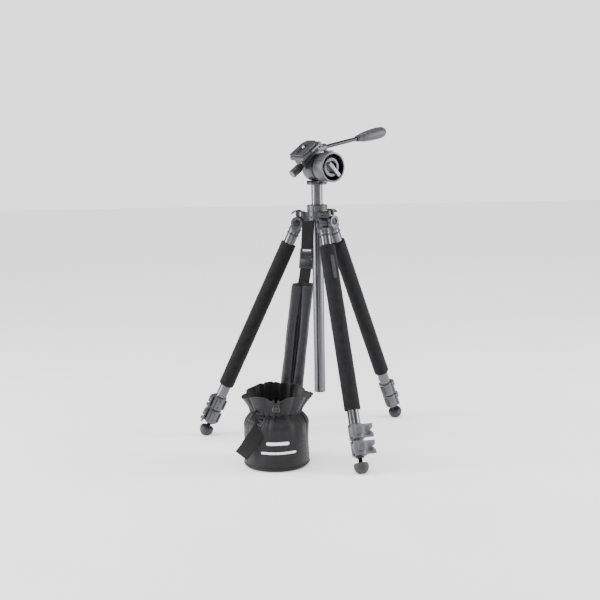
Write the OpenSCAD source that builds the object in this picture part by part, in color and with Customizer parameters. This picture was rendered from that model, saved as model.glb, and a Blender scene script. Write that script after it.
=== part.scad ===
// Three-section travelling tripod with a pan-and-tilt head, a shoulder strap and a leg pouch.
// Millimetres, +Z up. The centre column stands on x = y = 0 and the feet stand on z = 0.
// Every sub-part is drawn where it rests; joint value 0 is this pose.

/* [Which piece] */

/* [Stance] */
// lean of each leg from the vertical, degrees
leg_tilt = 25.28; // [22:0.1:28]
// leg hinge distance from the column axis
pivot_r = 46; // [46:0.5:50]
// leg hinge height
pivot_z = 517; // [512:0.5:522]

/* [Tubes] */
// upper leg tube outside diameter
upper_od = 26; // [26:0.5:27]
// middle leg tube outside diameter
middle_od = 22.4; // [21.6:0.1:22.4]
// lower leg tube outside diameter
lower_od = 19.2; // [18.4:0.1:19.2]
// foam grip outside diameter
foam_od = 36; // [32:0.5:38]
// centre column outside diameter
column_od = 26; // [25:0.5:26]

/* [Head] */
// forward tilt of the camera platform at rest, degrees
head_tilt = 34.5; // [0:0.5:40]
// direction the handle points, degrees from +X
pan_angle = 38; // [0:1:360]
// quick plate length, front to back
plate_l = 56; // [50:1:58]
// quick plate width
plate_w = 48; // [42:1:50]
// handle rod diameter
rod_d = 9.5; // [9.5:0.1:10]

/* [Pouch] */
// pouch radius
pouch_r = 70.8; // [64:0.1:72]
// height of the pouch's drawn-in neck
pouch_neck = 121; // [118:1:124]

/* [Hidden] */
$fn = 64;
legs = [["front", -73.2], ["right", 46.8], ["left", 166.8]];
upper_r = upper_od / 2;
middle_r = middle_od / 2;
lower_r = lower_od / 2;
column_r = column_od / 2;
fit = 0.3;            // gap of a sliding tube
run = 0.06;           // gap of a pin in its bore
bolt_r = 4;
tube_top = 22;        // where the upper tube starts, along the leg from its hinge
foam_top = 53;
foam_end = 432;
lock_a = 465;         // upper lock, first and last
lock_a_end = 497;
lock_b = 501;         // lower lock
lock_b_end = 533;
foot_c = 555.5;       // centre of the foot's ball
foot_r = 16.5;
collar_z = 543.8;
collar_top = 557.9;
sleeve_z = 518.7;
column_z = 120;
column_top = 604.5;
tilt_z = 645;
pin_x = 5.6;          // lock lever pin, in the leg's section
pin_y = -15.7;
pouch_x = -100.5;
pouch_y = -188;
neck_r = 54.8;        // outside radius of the drawn-in neck
dark = [0.12, 0.12, 0.13];
grey = [0.42, 0.42, 0.46];
silver = [0.68, 0.68, 0.70];
foam = [0.08, 0.08, 0.085];
rubber = [0.2, 0.2, 0.21];

// ---- frames ------------------------------------------------------------

// Hinge of one leg, upright: +X outwards, +Z up.
module at_hinge(az) rotate([0, 0, az]) translate([pivot_r, 0, pivot_z]) children();

// Along one leaning leg: the foot is at -Z.
module at_leg(az) at_hinge(az) rotate([0, -leg_tilt, 0]) children();

// The pan frame: +X along the handle, +Y away from the drum, +Z up, origin on the tilt axis.
module at_pan() rotate([0, 0, pan_angle]) translate([0, 0, tilt_z]) children();

// The tilting frame: +X to the platform's back edge, +Z square to the platform.
module at_tilt() at_pan() rotate([0, -head_tilt, 0]) children();

// A round bar along Y from y0 to y1.
module bar_y(r, y0, y1) translate([0, y0, 0]) rotate([-90, 0, 0]) cylinder(r = r, h = y1 - y0);

// A round bar along X from x0 to x1.
module bar_x(r, x0, x1) translate([x0, 0, 0]) rotate([0, 90, 0]) cylinder(r = r, h = x1 - x0);

// A round tube down the leg between two stations.
module leg_ring(r, hole, s0, s1)
  translate([0, 0, -s1]) difference() {
    cylinder(r = r, h = s1 - s0);
    translate([0, 0, -1]) cylinder(r = hole, h = s1 - s0 + 2);
  }

// ---- shoulder ----------------------------------------------------------

// One arm of the casting, carrying a leg hinge and the ears of its angle lever.
module shoulder_arm(az) {
  at_hinge(az) difference() {
    union() {
      translate([0, 6, 0]) rotate([90, 0, 0]) linear_extrude(12)
        polygon([[-27, 24.5], [-17, 24.5], [-17, 17], [-9, 13.5], [0, 10.5], [-6, -9],
                 [-16, -5], [-27, 1.7]]);
      bar_y(11, -6, 6);
      for (side = [-1, 1]) {
        translate([-12, side * 7, 22.5]) bar_y(3.6, -1.6, 1.6);
        translate([-15.6, side * 7 - 1.6, 12]) cube([7.2, 3.2, 10.5]);
      }
    }
    bar_y(bolt_r, -7, 7);
    translate([-12, 0, 22.5]) bar_y(1.6 + run, -10, 10);
  }
}

module shoulder_casting() color(grey) difference() {
  union() {
    translate([0, 0, sleeve_z]) cylinder(r = 22.5, h = 24.5);
    translate([0, 0, sleeve_z]) cylinder(r = 17.5, h = 34);
    for (leg = legs) shoulder_arm(leg[1]);
    // strap loop under the casting, between the front and left legs
    translate([-21.5, -24.5, sleeve_z + 1]) cube([30, 12, 4], center = true);
    translate([-21.5, -29, sleeve_z + 1]) cube([32, 3, 4], center = true);
  }
  translate([0, 0, sleeve_z - 5]) cylinder(r = column_r + fit, h = 60);
}

module hinge_bolts() color(dark) for (leg = legs) at_hinge(leg[1]) {
  bar_y(bolt_r, -12, 12);
  for (side = [-1, 1]) translate([0, side * 11.55, 0]) rotate([90, 0, 0])
    cylinder(r = 6.4, h = 2.9, center = true, $fn = 6);
}

module column_lock_collar() color(grey) difference() {
  translate([0, 0, collar_z]) cylinder(r = 23.5, h = collar_top - collar_z);
  translate([0, 0, collar_z - 1]) cylinder(r = 17.5 + fit, h = 10.5);
  translate([0, 0, collar_z - 1]) cylinder(r = column_r + fit, h = 30);
  for (k = [0:11]) rotate([0, 0, k * 30 + 10]) translate([24.6, 0, collar_z + 2])
    cylinder(r = 2, h = 9);
}

// ---- column ------------------------------------------------------------

module center_column() color(silver) translate([0, 0, column_z]) difference() {
  cylinder(r = column_r, h = column_top - column_z);
  translate([0, 0, -1]) cylinder(r = column_r - 2, h = column_top - column_z + 2);
}

module column_end_cap() color(dark) difference() {
  union() {
    translate([0, 0, column_z - 1.2]) cylinder(r = column_r + 0.9, h = 1.2);
    translate([0, 0, column_z]) cylinder(r = column_r - 2, h = 14);
  }
  translate([0, 0, column_z - 3]) cylinder(r = 4, h = 8);
}

// ---- legs --------------------------------------------------------------

module leg_bracket(az) color(grey) at_leg(az) difference() {
  union() {
    for (side = [-1, 1]) {
      translate([0, side * 9.7, 0]) bar_y(14, -3.3, 3.3);
      translate([-10.5, side * 9.7 - 3.3, -16]) cube([21, 6.6, 16]);
    }
    translate([0, 0, -tube_top]) cylinder(r = upper_r + 0.9, h = 8.5);
    translate([0, 0, -tube_top - 14]) cylinder(r = upper_r - 1.5, h = 15);
  }
  bar_y(bolt_r + run, -20, 20);
  for (side = [-1, 1]) translate([0, side * 12, 0]) bar_y(8, -2, 2);
}

module leg_upper_tube(az) color(silver) at_leg(az)
  leg_ring(upper_r, upper_r - 1.5, tube_top, lock_a_end - 7);

module leg_foam_grip(az) color(foam) at_leg(az) leg_ring(foam_od / 2, upper_r, foam_top, foam_end);

// The clamp of one lock: a sleeve on the outer tube that grips the tube sliding in it.
module lock_body(az, s0, s1, outer, inner) color(grey) at_leg(az) difference() {
  union() {
    translate([0, 0, -s1]) cylinder(r = 15.5, h = s1 - s0);
    translate([-6, 6, -s1 + 2]) cube([15, 12.5, s1 - s0 - 4]);
    translate([pin_x, pin_y, -s1]) cylinder(r = 3.1, h = 5);
    translate([pin_x, pin_y, -s0 - 5]) cylinder(r = 3.1, h = 5);
  }
  translate([0, 0, -s1 + 7]) cylinder(r = outer, h = 60);
  translate([0, 0, -s1 - 1]) cylinder(r = inner + fit, h = 60);
  translate([pin_x, pin_y, -s1 + 5]) cylinder(r = 3.5, h = s1 - s0 - 10);
  translate([pin_x, pin_y, -s1 - 1]) cylinder(r = 1.5 + run, h = 60);
  translate([1, 12, -s1 - 1]) cube([1.6, 10, s1 - s0 + 2]);
}

// The lever of one lock, wrapped round the outward side, with a notched thumb tab.
module lock_lever(az, s0, s1) color(grey) at_leg(az) translate([0, 0, -s1]) difference() {
  union() {
    intersection() {
      translate([0, 0, 1]) difference() {
        cylinder(r = 18.5, h = s1 - s0 - 2);
        translate([0, 0, -1]) cylinder(r = 16, h = 60);
      }
      linear_extrude(60) polygon([[0, 0], [20, -22.2], [60, 0], [60, 60], [12.5, 11]]);
    }
    intersection() {
      translate([0, 0, 5.4]) difference() {
        cylinder(r = 18.5, h = s1 - s0 - 10.8);
        translate([0, 0, -1]) cylinder(r = 16, h = 60);
      }
      linear_extrude(60) polygon([[0, 0], [6.2, -17.4], [13, -36], [22, -22]]);
    }
    translate([pin_x, pin_y, 5.4]) cylinder(r = 3.1, h = s1 - s0 - 10.8);
    translate([pin_x, pin_y, 0.5]) cylinder(r = 1.5, h = s1 - s0 - 1);
    translate([12.9, 9.4, 1]) cube([2.7, 24.6, s1 - s0 - 2]);
  }
  // fishtail
  translate([10, 27, (s1 - s0) / 2]) rotate([0, 90, 0]) linear_extrude(10)
    polygon([[0, 0], [-9, 10], [9, 10]]);
}

module leg_middle_tube(az) color(silver) at_leg(az)
  leg_ring(middle_r, middle_r - 1.3, 40, lock_b_end - 7);

module leg_lower_tube(az) color(silver) at_leg(az)
  leg_ring(lower_r, lower_r - 1.3, 44, lock_b_end + 1);

module leg_spike_stem(az) color(dark) at_leg(az) {
  translate([0, 0, -lock_b_end - 1]) cylinder(r = lower_r - 1.3, h = 16);
  translate([0, 0, -561]) cylinder(r = 5, h = 561 - lock_b_end);
  translate([0, 0, -569]) cylinder(r1 = 0.8, r2 = 5, h = 8);
}

module leg_rubber_foot(az) color(rubber) at_leg(az) difference() {
  intersection() {
    translate([0, 0, -foot_c]) sphere(r = foot_r, $fn = 96);
    translate([0, 0, -foot_c - 20]) cylinder(r = 30, h = 27.5);
  }
  translate([0, 0, -foot_c - 30]) cylinder(r = 5 + fit, h = 60);
}

// The pawl over one leg hinge: lifted by hand, it lets the leg spread wider.
module leg_angle_lever(az) color(dark) at_hinge(az) {
  difference() {
    union() {
      intersection() {
        translate([0, 0, 12]) bar_y(17.2, -10, 10);
        translate([0, 10, 12]) rotate([90, 0, 0]) linear_extrude(20)
          polygon([[0, 0], [24, 16], [24, 40], [-12, 25.7]]);
      }
      intersection() {
        translate([0, 0, 12]) bar_y(17.2, -5, 5);
        translate([0, 5, 12]) rotate([90, 0, 0]) linear_extrude(10)
          polygon([[0, 0], [0, 30], [-30, 30], [-30, 12]]);
      }
    }
    translate([0, 0, 12]) bar_y(14.5, -20, 20);
  }
  translate([-3, -10, 14.7]) cube([6, 20, 12.6]);
  translate([-12, 0, 22.5]) bar_y(3, -5, 5);
  translate([-12, 0, 22.5]) bar_y(1.6, -8.4, 8.4);
}

// ---- head --------------------------------------------------------------

module head_base() color(grey) {
  translate([0, 0, column_top]) cylinder(r = 23.3, h = 4.1);
  translate([0, 0, column_top - 14]) cylinder(r = column_r - 2, h = 14);
  translate([0, 0, column_top]) cylinder(r = 6, h = 8.6);
}

module pan_body() color(grey) difference() {
  union() {
    translate([0, 0, 609]) cylinder(r = 23.3, h = 4.4);
    at_pan() {
      translate([-13, 0, 0]) rotate([90, 0, 90]) linear_extrude(26)
        polygon([[-14, -36], [-20, -36], [-29.5, -26], [-29.5, 0], [-19.6, 0], [-19.6, -31.6],
                 [-14, -31.6]]);
      bar_y(30, -29.5, -19.6);
    }
  }
  translate([0, 0, 600]) cylinder(r = 6 + run, h = 20);
  at_pan() bar_y(9 + run, -40, 0);
}

module tilt_drum() color(grey) at_pan() difference() {
  union() {
    difference() {
      bar_y(34, -60, -29.5);
      bar_y(30.5, -61, -34);
    }
    bar_y(21, -54, -34);
    translate([-5, -56, 30]) cube([10, 24, 8]);
  }
  bar_y(15, -61, -35.5);
  bar_y(9 + run, -40, -20);
}

module tilt_wing() color(grey) at_pan() rotate([0, 45, 0]) {
  bar_y(14.6, -46, -36);
  translate([-13, -59.4, -4]) cube([26.5, 14, 8]);
  translate([-13, -59.4, -4]) cube([41, 5, 8]);
}

module tilt_body() color(grey) at_tilt() difference() {
  union() {
    bar_y(31, -18, 15);
    bar_y(9, -34.5, -17);
    translate([0, 0, 28]) bar_x(12, -26.5, 22);
    translate([0, 0, 28]) bar_x(4, -60, -20);
    handle_line() translate([0, 0, -22]) cylinder(r = 9, h = 26);
  }
  handle_line() translate([0, 0, -16]) cylinder(r = rod_d / 2 + run, h = 60);
}

// Along the handle: local +Z runs from the tilting block to the grip.
module handle_line() translate([39.2, 0, 25.2]) rotate([0, 114.6, 0]) children();

module handle_rod() color(dark) at_tilt() handle_line()
  translate([0, 0, -15.5]) cylinder(r = rod_d / 2, h = 15.5 + 150);

module handle_grip() color(rubber) at_tilt() handle_line() translate([0, 0, 108]) difference() {
  rotate_extrude() polygon([[0, 0], [7.6, 0], [8, 4], [10, 12], [12.4, 28], [13.8, 48],
    [14, 62], [13.2, 76], [10.4, 84], [5, 88.4], [0, 89]]);
  translate([0, 0, -1]) cylinder(r = rod_d / 2, h = 43);
}

module side_tilt_knob() color(dark) at_tilt() translate([0, 0, 28]) difference() {
  union() {
    bar_x(9.6, -67.5, -41);
    bar_x(7, -41.5, -36.2);
  }
  bar_x(4 + run, -61, -30);
  for (k = [0:11]) rotate([k * 30, 0, 0]) translate([-64, 0, 10.3]) bar_x(1.3, 0, 20);
}

module platform() color(grey) at_tilt() difference() {
  union() {
    translate([-35, -25, 44]) cube([62, 50, 8]);
    translate([-35, -13, 28]) cube([7.4, 26, 18]);
    translate([0, 0, 28]) bar_x(13, -35, -27.6);
    translate([-27.7, -21, 43.4]) cube([8, 42, 1.1]);
    translate([15, -31, 44]) cube([8, 6.5, 3]);
  }
  translate([0, 0, 28]) bar_x(4 + run, -40, -20);
  translate([19, -28, 43]) cylinder(r = 1.5 + run, h = 20);
  translate([-26, -21.4, 50.5]) cube([44, 42.8, 4]);
}

module plate_lever() color(silver) at_tilt() {
  translate([19, -28, 44]) cylinder(r = 1.5, h = 6);
  translate([19, -28, 47.3]) cylinder(r = 2.4, h = 4.2);
  translate([-9, -29.6, 47.3]) cube([28, 3.2, 4.2]);
}

module quick_plate() color(dark) at_tilt() difference() {
  union() {
    translate([-25.6, -21, 50.6]) cube([43.2, 42, 4]);
    translate([-5.5, 0, 53]) linear_extrude(5) plate_outline();
  }
  translate([-5.5, 0, 40]) cylinder(r = 3.3, h = 30);
  translate([-5.5, 0, 50]) cylinder(r = 8.6, h = 4.5);
  translate([-22.5, 0, 54]) cylinder(r = 2.2 + run, h = 30);
  translate([-22.5, 0, 50]) cylinder(r = 3.4, h = 5);
}

module plate_outline() polygon([
  [-plate_l / 2, -plate_w / 2 + 2], [-plate_l / 2 + 2, -plate_w / 2],
  [plate_l / 2 - 10, -plate_w / 2], [plate_l / 2, -plate_w / 2 + 10],
  [plate_l / 2, plate_w / 2 - 10], [plate_l / 2 - 10, plate_w / 2],
  [-plate_l / 2 + 2, plate_w / 2], [-plate_l / 2, plate_w / 2 - 2]]);

module camera_screw() color(silver) at_tilt() translate([-5.5, 0, 0]) {
  translate([0, 0, 51]) cylinder(r = 8, h = 3.3);
  translate([0, 0, 52]) cylinder(r = 3, h = 7);
  translate([0, 0, 58.3]) cylinder(r = 3.175, h = 5.5);
}

module video_pin() color(dark) at_tilt() translate([-22.5, 0, 0]) {
  translate([0, 0, 54.2]) cylinder(r = 2.2, h = 6.3);
}

// ---- strap and pouch ---------------------------------------------------

// A flat band from the low point p to the high point q, its width kept along X.
module band(p, q, w, t) {
  d = q - p;
  len = norm(d);
  turn = atan2(d[1], d[0]);
  translate(p) rotate([0, 0, turn]) rotate([0, acos(d[2] / len), 0]) rotate([0, 0, -turn])
    translate([-w / 2, -t / 2, 0]) cube([w, t, len]);
}

module strap_upper_webbing() color(dark)
  band([-25.3, -46.6, 462.4], [-21.5, -33, 514], 28, 1.8);

module buckle_socket() color(dark)
  band([-26.8, -51.6, 437], [-25.6, -48.2, 461], 33, 9);

module buckle_plug() color(dark)
  band([-29.2, -57, 417], [-27.1, -52.4, 434.4], 32, 8);

// The pad hangs from the buckle: two lobes side by side, then webbing to the pouch's back.
module strap_pad() color(foam) {
  band([-33, -61, 380], [-29.4, -57.6, 415.6], 25, 1.8);
  for (side = [-1, 1]) {
    band([-51 + side * 15, -80, 268], [-36.5 + side * 12.2, -62, 384], 25.6, 12);
    band([-68.5 + side * 14, -99, 129], [-51 + side * 15, -80, 270], 25.6, 12);
  }
  band([-51, -80, 268], [-36.5, -62, 381], 24, 6);
  band([-68.5, -99, 131], [-51, -80, 270], 24, 6);
  band([-84, -113.5, 70], [-68.5, -99, 131], 25, 1.8);
}

module pouch_body() color(foam) translate([pouch_x, pouch_y, 0]) rotate_extrude()
  polygon([[0, 0], [pouch_r - 4, 0], [pouch_r, 4], [pouch_r, 45], [pouch_r - 1, 85],
    [pouch_r - 5, 103], [neck_r, pouch_neck], [58, 127], [73, 152], [71, 163],
    [69.2, 163], [71, 152], [56.2, 127.6], [neck_r - 2, pouch_neck], [pouch_r - 7, 102],
    [pouch_r - 3, 84], [pouch_r - 2, 45], [pouch_r - 3, 3], [0, 3]]);

// The cord round the neck, with two strands to the cord lock in front.
module pouch_drawcord() color(dark) translate([pouch_x, pouch_y, pouch_neck]) {
  rotate_extrude() translate([neck_r + 2.5, 0, 0]) circle(r = 1.5, $fn = 24);
  for (x = [-1.5, 5.5]) translate([x, -neck_r - 3.2, 0]) rotate([66.8, 0, 0])
    cylinder(r = 1.4, h = 23);
  translate([2, -79.5, 19]) cube([16, 11, 22], center = true);
}

// ---- assembly ----------------------------------------------------------

shoulder_casting();
hinge_bolts();
column_lock_collar();
center_column();
column_end_cap();
leg_bracket(legs[0][1]);  // front_leg_bracket
leg_upper_tube(legs[0][1]);  // front_leg_upper_tube
leg_foam_grip(legs[0][1]);  // front_leg_foam_grip
lock_body(legs[0][1], lock_a, lock_a_end, upper_r, middle_r);  // front_leg_upper_lock_body
lock_lever(legs[0][1], lock_a, lock_a_end);  // front_leg_upper_lock_lever
leg_middle_tube(legs[0][1]);  // front_leg_middle_tube
lock_body(legs[0][1], lock_b, lock_b_end, middle_r, lower_r);  // front_leg_lower_lock_body
lock_lever(legs[0][1], lock_b, lock_b_end);  // front_leg_lower_lock_lever
leg_lower_tube(legs[0][1]);  // front_leg_lower_tube
leg_spike_stem(legs[0][1]);  // front_leg_spike_stem
leg_rubber_foot(legs[0][1]);  // front_leg_rubber_foot
leg_angle_lever(legs[0][1]);  // front_leg_angle_lever
leg_bracket(legs[1][1]);  // right_leg_bracket
leg_upper_tube(legs[1][1]);  // right_leg_upper_tube
leg_foam_grip(legs[1][1]);  // right_leg_foam_grip
lock_body(legs[1][1], lock_a, lock_a_end, upper_r, middle_r);  // right_leg_upper_lock_body
lock_lever(legs[1][1], lock_a, lock_a_end);  // right_leg_upper_lock_lever
leg_middle_tube(legs[1][1]);  // right_leg_middle_tube
lock_body(legs[1][1], lock_b, lock_b_end, middle_r, lower_r);  // right_leg_lower_lock_body
lock_lever(legs[1][1], lock_b, lock_b_end);  // right_leg_lower_lock_lever
leg_lower_tube(legs[1][1]);  // right_leg_lower_tube
leg_spike_stem(legs[1][1]);  // right_leg_spike_stem
leg_rubber_foot(legs[1][1]);  // right_leg_rubber_foot
leg_angle_lever(legs[1][1]);  // right_leg_angle_lever
leg_bracket(legs[2][1]);  // left_leg_bracket
leg_upper_tube(legs[2][1]);  // left_leg_upper_tube
leg_foam_grip(legs[2][1]);  // left_leg_foam_grip
lock_body(legs[2][1], lock_a, lock_a_end, upper_r, middle_r);  // left_leg_upper_lock_body
lock_lever(legs[2][1], lock_a, lock_a_end);  // left_leg_upper_lock_lever
leg_middle_tube(legs[2][1]);  // left_leg_middle_tube
lock_body(legs[2][1], lock_b, lock_b_end, middle_r, lower_r);  // left_leg_lower_lock_body
lock_lever(legs[2][1], lock_b, lock_b_end);  // left_leg_lower_lock_lever
leg_lower_tube(legs[2][1]);  // left_leg_lower_tube
leg_spike_stem(legs[2][1]);  // left_leg_spike_stem
leg_rubber_foot(legs[2][1]);  // left_leg_rubber_foot
leg_angle_lever(legs[2][1]);  // left_leg_angle_lever
head_base();
pan_body();
tilt_drum();
tilt_wing();
tilt_body();
side_tilt_knob();
handle_rod();
handle_grip();
platform();
plate_lever();
quick_plate();
camera_screw();
video_pin();
strap_upper_webbing();
buckle_socket();
buckle_plug();
strap_pad();
pouch_body();
pouch_drawcord();
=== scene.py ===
"""Camera tripod with a pan-and-tilt head, a shoulder strap and a drawstring leg pouch.

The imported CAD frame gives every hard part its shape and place. This script finishes those
parts, models the soft goods and the small trim, dresses everything and sets up the studio.
Lengths are in metres unless a name ends in _mm.
"""

import logging
import math
from contextlib import contextmanager
from dataclasses import dataclass
from enum import Enum
from typing import Iterator, Sequence

import bmesh
import bpy
import numpy as np
from mathutils import Matrix, Vector


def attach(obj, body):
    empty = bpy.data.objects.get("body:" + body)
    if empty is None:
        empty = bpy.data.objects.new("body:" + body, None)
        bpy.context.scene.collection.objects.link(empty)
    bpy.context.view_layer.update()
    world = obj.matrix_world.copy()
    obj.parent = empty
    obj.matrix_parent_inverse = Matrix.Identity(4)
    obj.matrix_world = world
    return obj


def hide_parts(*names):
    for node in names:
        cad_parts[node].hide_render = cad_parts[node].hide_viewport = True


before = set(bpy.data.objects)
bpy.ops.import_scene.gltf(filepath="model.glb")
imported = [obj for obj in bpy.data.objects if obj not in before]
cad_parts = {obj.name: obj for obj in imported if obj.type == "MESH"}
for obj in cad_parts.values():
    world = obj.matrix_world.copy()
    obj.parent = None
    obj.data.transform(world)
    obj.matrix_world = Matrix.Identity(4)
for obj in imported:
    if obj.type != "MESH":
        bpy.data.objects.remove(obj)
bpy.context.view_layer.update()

MM = 0.001
LOG = logging.getLogger("tripod")

Point = Sequence[float]


# ---------------------------------------------------------------------------
# Places: the same local frames as the CAD, in metres
# ---------------------------------------------------------------------------


@dataclass(frozen=True)
class Stance:
    """Where the legs and the head sit, as the CAD draws them."""

    pivot_r: float = 46 * MM
    pivot_z: float = 517 * MM
    lean: float = math.radians(25.28)
    pan: float = math.radians(38.0)
    tilt: float = math.radians(34.5)
    tilt_z: float = 645 * MM

    def hinge(self, azimuth: float) -> Matrix:
        """Returns the upright frame of one leg hinge, +X outwards."""
        return Matrix.Rotation(math.radians(azimuth), 4, "Z") @ Matrix.Translation(
            (self.pivot_r, 0, self.pivot_z)
        )

    def leg(self, azimuth: float) -> Matrix:
        """Returns the frame along one leaning leg, with the foot at -Z."""
        return self.hinge(azimuth) @ Matrix.Rotation(-self.lean, 4, "Y")

    def pan_frame(self) -> Matrix:
        """Returns the frame of the pan body, on the tilt axis, +X along the handle."""
        return Matrix.Rotation(self.pan, 4, "Z") @ Matrix.Translation((0, 0, self.tilt_z))

    def tilt_frame(self) -> Matrix:
        """Returns the frame of the tilting block, +Z square to the platform."""
        return self.pan_frame() @ Matrix.Rotation(-self.tilt, 4, "Y")

    def handle(self) -> Matrix:
        """Returns the frame of the handle, +Z from the block to the grip."""
        root = Matrix.Translation((39.2 * MM, 0, 25.2 * MM))
        return self.tilt_frame() @ root @ Matrix.Rotation(math.radians(114.6), 4, "Y")


STANCE = Stance()


class LegSide(Enum):
    """The three legs and the direction each one leans, in degrees from +X."""

    FRONT = ("front", -73.2)
    RIGHT = ("right", 46.8)
    LEFT = ("left", 166.8)

    @property
    def prefix(self) -> str:
        """Returns the start of this leg's node names."""
        return f"{self.value[0]}_leg"

    @property
    def azimuth(self) -> float:
        """Returns the direction in which this leg leans, in degrees."""
        return self.value[1]


# ---------------------------------------------------------------------------
# Bench: modelling by operators
# ---------------------------------------------------------------------------


def make_active(piece: bpy.types.Object) -> None:
    """Makes one object the only selected one.

    Args:
        piece: the object that the next operator acts on.
    """
    bpy.ops.object.select_all(action="DESELECT")
    piece.select_set(True)
    bpy.context.view_layer.objects.active = piece


@contextmanager
def editing(piece: bpy.types.Object, mode: str = "FACE") -> Iterator[bmesh.types.BMesh]:
    """Opens a mesh in edit mode with nothing selected.

    Args:
        piece: the mesh object to edit.
        mode: "VERT", "EDGE" or "FACE".

    Yields:
        The edit-mode mesh, to choose elements in.
    """
    make_active(piece)
    bpy.ops.object.mode_set(mode="EDIT")
    bpy.ops.mesh.select_mode(type=mode)
    bpy.ops.mesh.select_all(action="DESELECT")
    try:
        yield bmesh.from_edit_mesh(piece.data)
    finally:
        bpy.ops.object.mode_set(mode="OBJECT")


def named(piece: bpy.types.Object, name: str) -> bpy.types.Object:
    """Gives an object and its mesh one name, and returns the object."""
    piece.name = name
    piece.data.name = name
    return piece


def apply_modifiers(piece: bpy.types.Object) -> None:
    """Applies every modifier on the object, in order."""
    make_active(piece)
    for modifier in list(piece.modifiers):
        bpy.ops.object.modifier_apply(modifier=modifier.name)


def recalculate(piece: bpy.types.Object) -> None:
    """Merges doubles and turns every face outwards."""
    with editing(piece, "VERT"):
        bpy.ops.mesh.select_all(action="SELECT")
        bpy.ops.mesh.remove_doubles(threshold=1e-6)
        bpy.ops.mesh.normals_make_consistent(inside=False)


def smooth(piece: bpy.types.Object, degrees: float = 32.0) -> None:
    """Shades a piece smooth, with creases above an angle."""
    make_active(piece)
    bpy.ops.object.shade_smooth_by_angle(angle=math.radians(degrees), keep_sharp_edges=False)


def place(piece: bpy.types.Object, where: Matrix) -> bpy.types.Object:
    """Moves a piece's mesh into place and leaves its object at the origin.

    Args:
        piece: the mesh object, made at the origin.
        where: the local frame that it was drawn in.

    Returns:
        The same object.
    """
    make_active(piece)
    piece.matrix_world = where @ piece.matrix_world
    bpy.ops.object.transform_apply(location=True, rotation=True, scale=True)
    return piece


def rounded(
    piece: bpy.types.Object, width_mm: float, segments: int = 2, angle: float = 35.0
) -> bpy.types.Object:
    """Breaks the sharp edges of a piece with a small radius.

    Args:
        piece: the mesh object.
        width_mm: the size of the radius.
        segments: how many faces make it.
        angle: the sharpest corner left alone, in degrees.

    Returns:
        The same object.
    """
    bevel = piece.modifiers.new("edges", "BEVEL")
    bevel.width = width_mm * MM
    bevel.segments = segments
    bevel.limit_method = "ANGLE"
    bevel.angle_limit = math.radians(angle)
    bevel.harden_normals = False
    apply_modifiers(piece)
    smooth(piece, 40)
    return piece


def block(name: str, low: Point, high: Point) -> bpy.types.Object:
    """Adds a block between two corners given in millimetres.

    Args:
        name: the name of the piece.
        low: its lowest corner.
        high: its highest corner.

    Returns:
        The new mesh object.
    """
    bpy.ops.object.select_all(action="DESELECT")
    middle = [(a + b) / 2 * MM for a, b in zip(low, high)]
    bpy.ops.mesh.primitive_cube_add(size=1, location=middle)
    piece = named(bpy.context.object, name)
    piece.scale = [(b - a) * MM for a, b in zip(low, high)]
    bpy.ops.object.transform_apply(location=True, rotation=True, scale=True)
    return piece


def turned(
    name: str, profile: Sequence[tuple[float, float]], sides: int = 64, closed: bool = True
) -> bpy.types.Object:
    """Turns a part on +Z: a ring is extruded from station to station.

    Args:
        name: the name of the piece.
        profile: (height, radius) stations in millimetres, from the bottom up.
        sides: how many sides the ring has.
        closed: whether both ends get a face.

    Returns:
        The new mesh object.
    """
    bpy.ops.object.select_all(action="DESELECT")
    height, radius = profile[0]
    bpy.ops.mesh.primitive_circle_add(
        vertices=sides, radius=radius * MM, fill_type="NGON" if closed else "NOTHING",
        location=(0, 0, height * MM),
    )
    piece = named(bpy.context.object, name)
    bpy.ops.object.transform_apply(location=True, rotation=True, scale=True)
    make_active(piece)
    bpy.ops.object.mode_set(mode="EDIT")
    bpy.ops.mesh.select_mode(type="EDGE")
    bpy.ops.mesh.select_all(action="SELECT")
    for station, width in profile[1:]:
        step, grow = (station - height) * MM, width / radius
        if closed:
            bpy.ops.mesh.extrude_region_move(TRANSFORM_OT_translate={"value": (0, 0, step)})
        else:
            bpy.ops.mesh.extrude_edges_move(TRANSFORM_OT_translate={"value": (0, 0, step)})
        bpy.ops.transform.resize(value=(grow, grow, 1), center_override=(0, 0, station * MM))
        height, radius = station, width
    bpy.ops.object.mode_set(mode="OBJECT")
    recalculate(piece)
    return piece


def finished_copy(node: str, name: str, width_mm: float, segments: int = 2) -> bpy.types.Object:
    """Copies a CAD node, joins its loose faces and breaks its sharp edges.

    Args:
        node: the CAD node to stand for.
        name: the name of the new piece.
        width_mm: the radius on its edges, or 0 for none.
        segments: how many faces make the radius.

    Returns:
        The new mesh object, which replaces the node.
    """
    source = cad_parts[node]
    piece = bpy.data.objects.new(name, source.data.copy())
    bpy.context.scene.collection.objects.link(piece)
    named(piece, name)
    with editing(piece, "VERT"):
        bpy.ops.mesh.select_all(action="SELECT")
        bpy.ops.mesh.remove_doubles(threshold=2e-6)
        bpy.ops.mesh.dissolve_limited(angle_limit=math.radians(0.3))
    if width_mm:
        rounded(piece, width_mm, segments)
    else:
        smooth(piece, 40)
    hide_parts(node)
    return piece


def joined(name: str, pieces: Sequence[bpy.types.Object]) -> bpy.types.Object:
    """Joins several mesh objects into one piece and names it."""
    bpy.ops.object.select_all(action="DESELECT")
    for piece in pieces:
        piece.select_set(True)
    bpy.context.view_layer.objects.active = pieces[0]
    if len(pieces) > 1:
        bpy.ops.object.join()
    return named(pieces[0], name)


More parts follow.
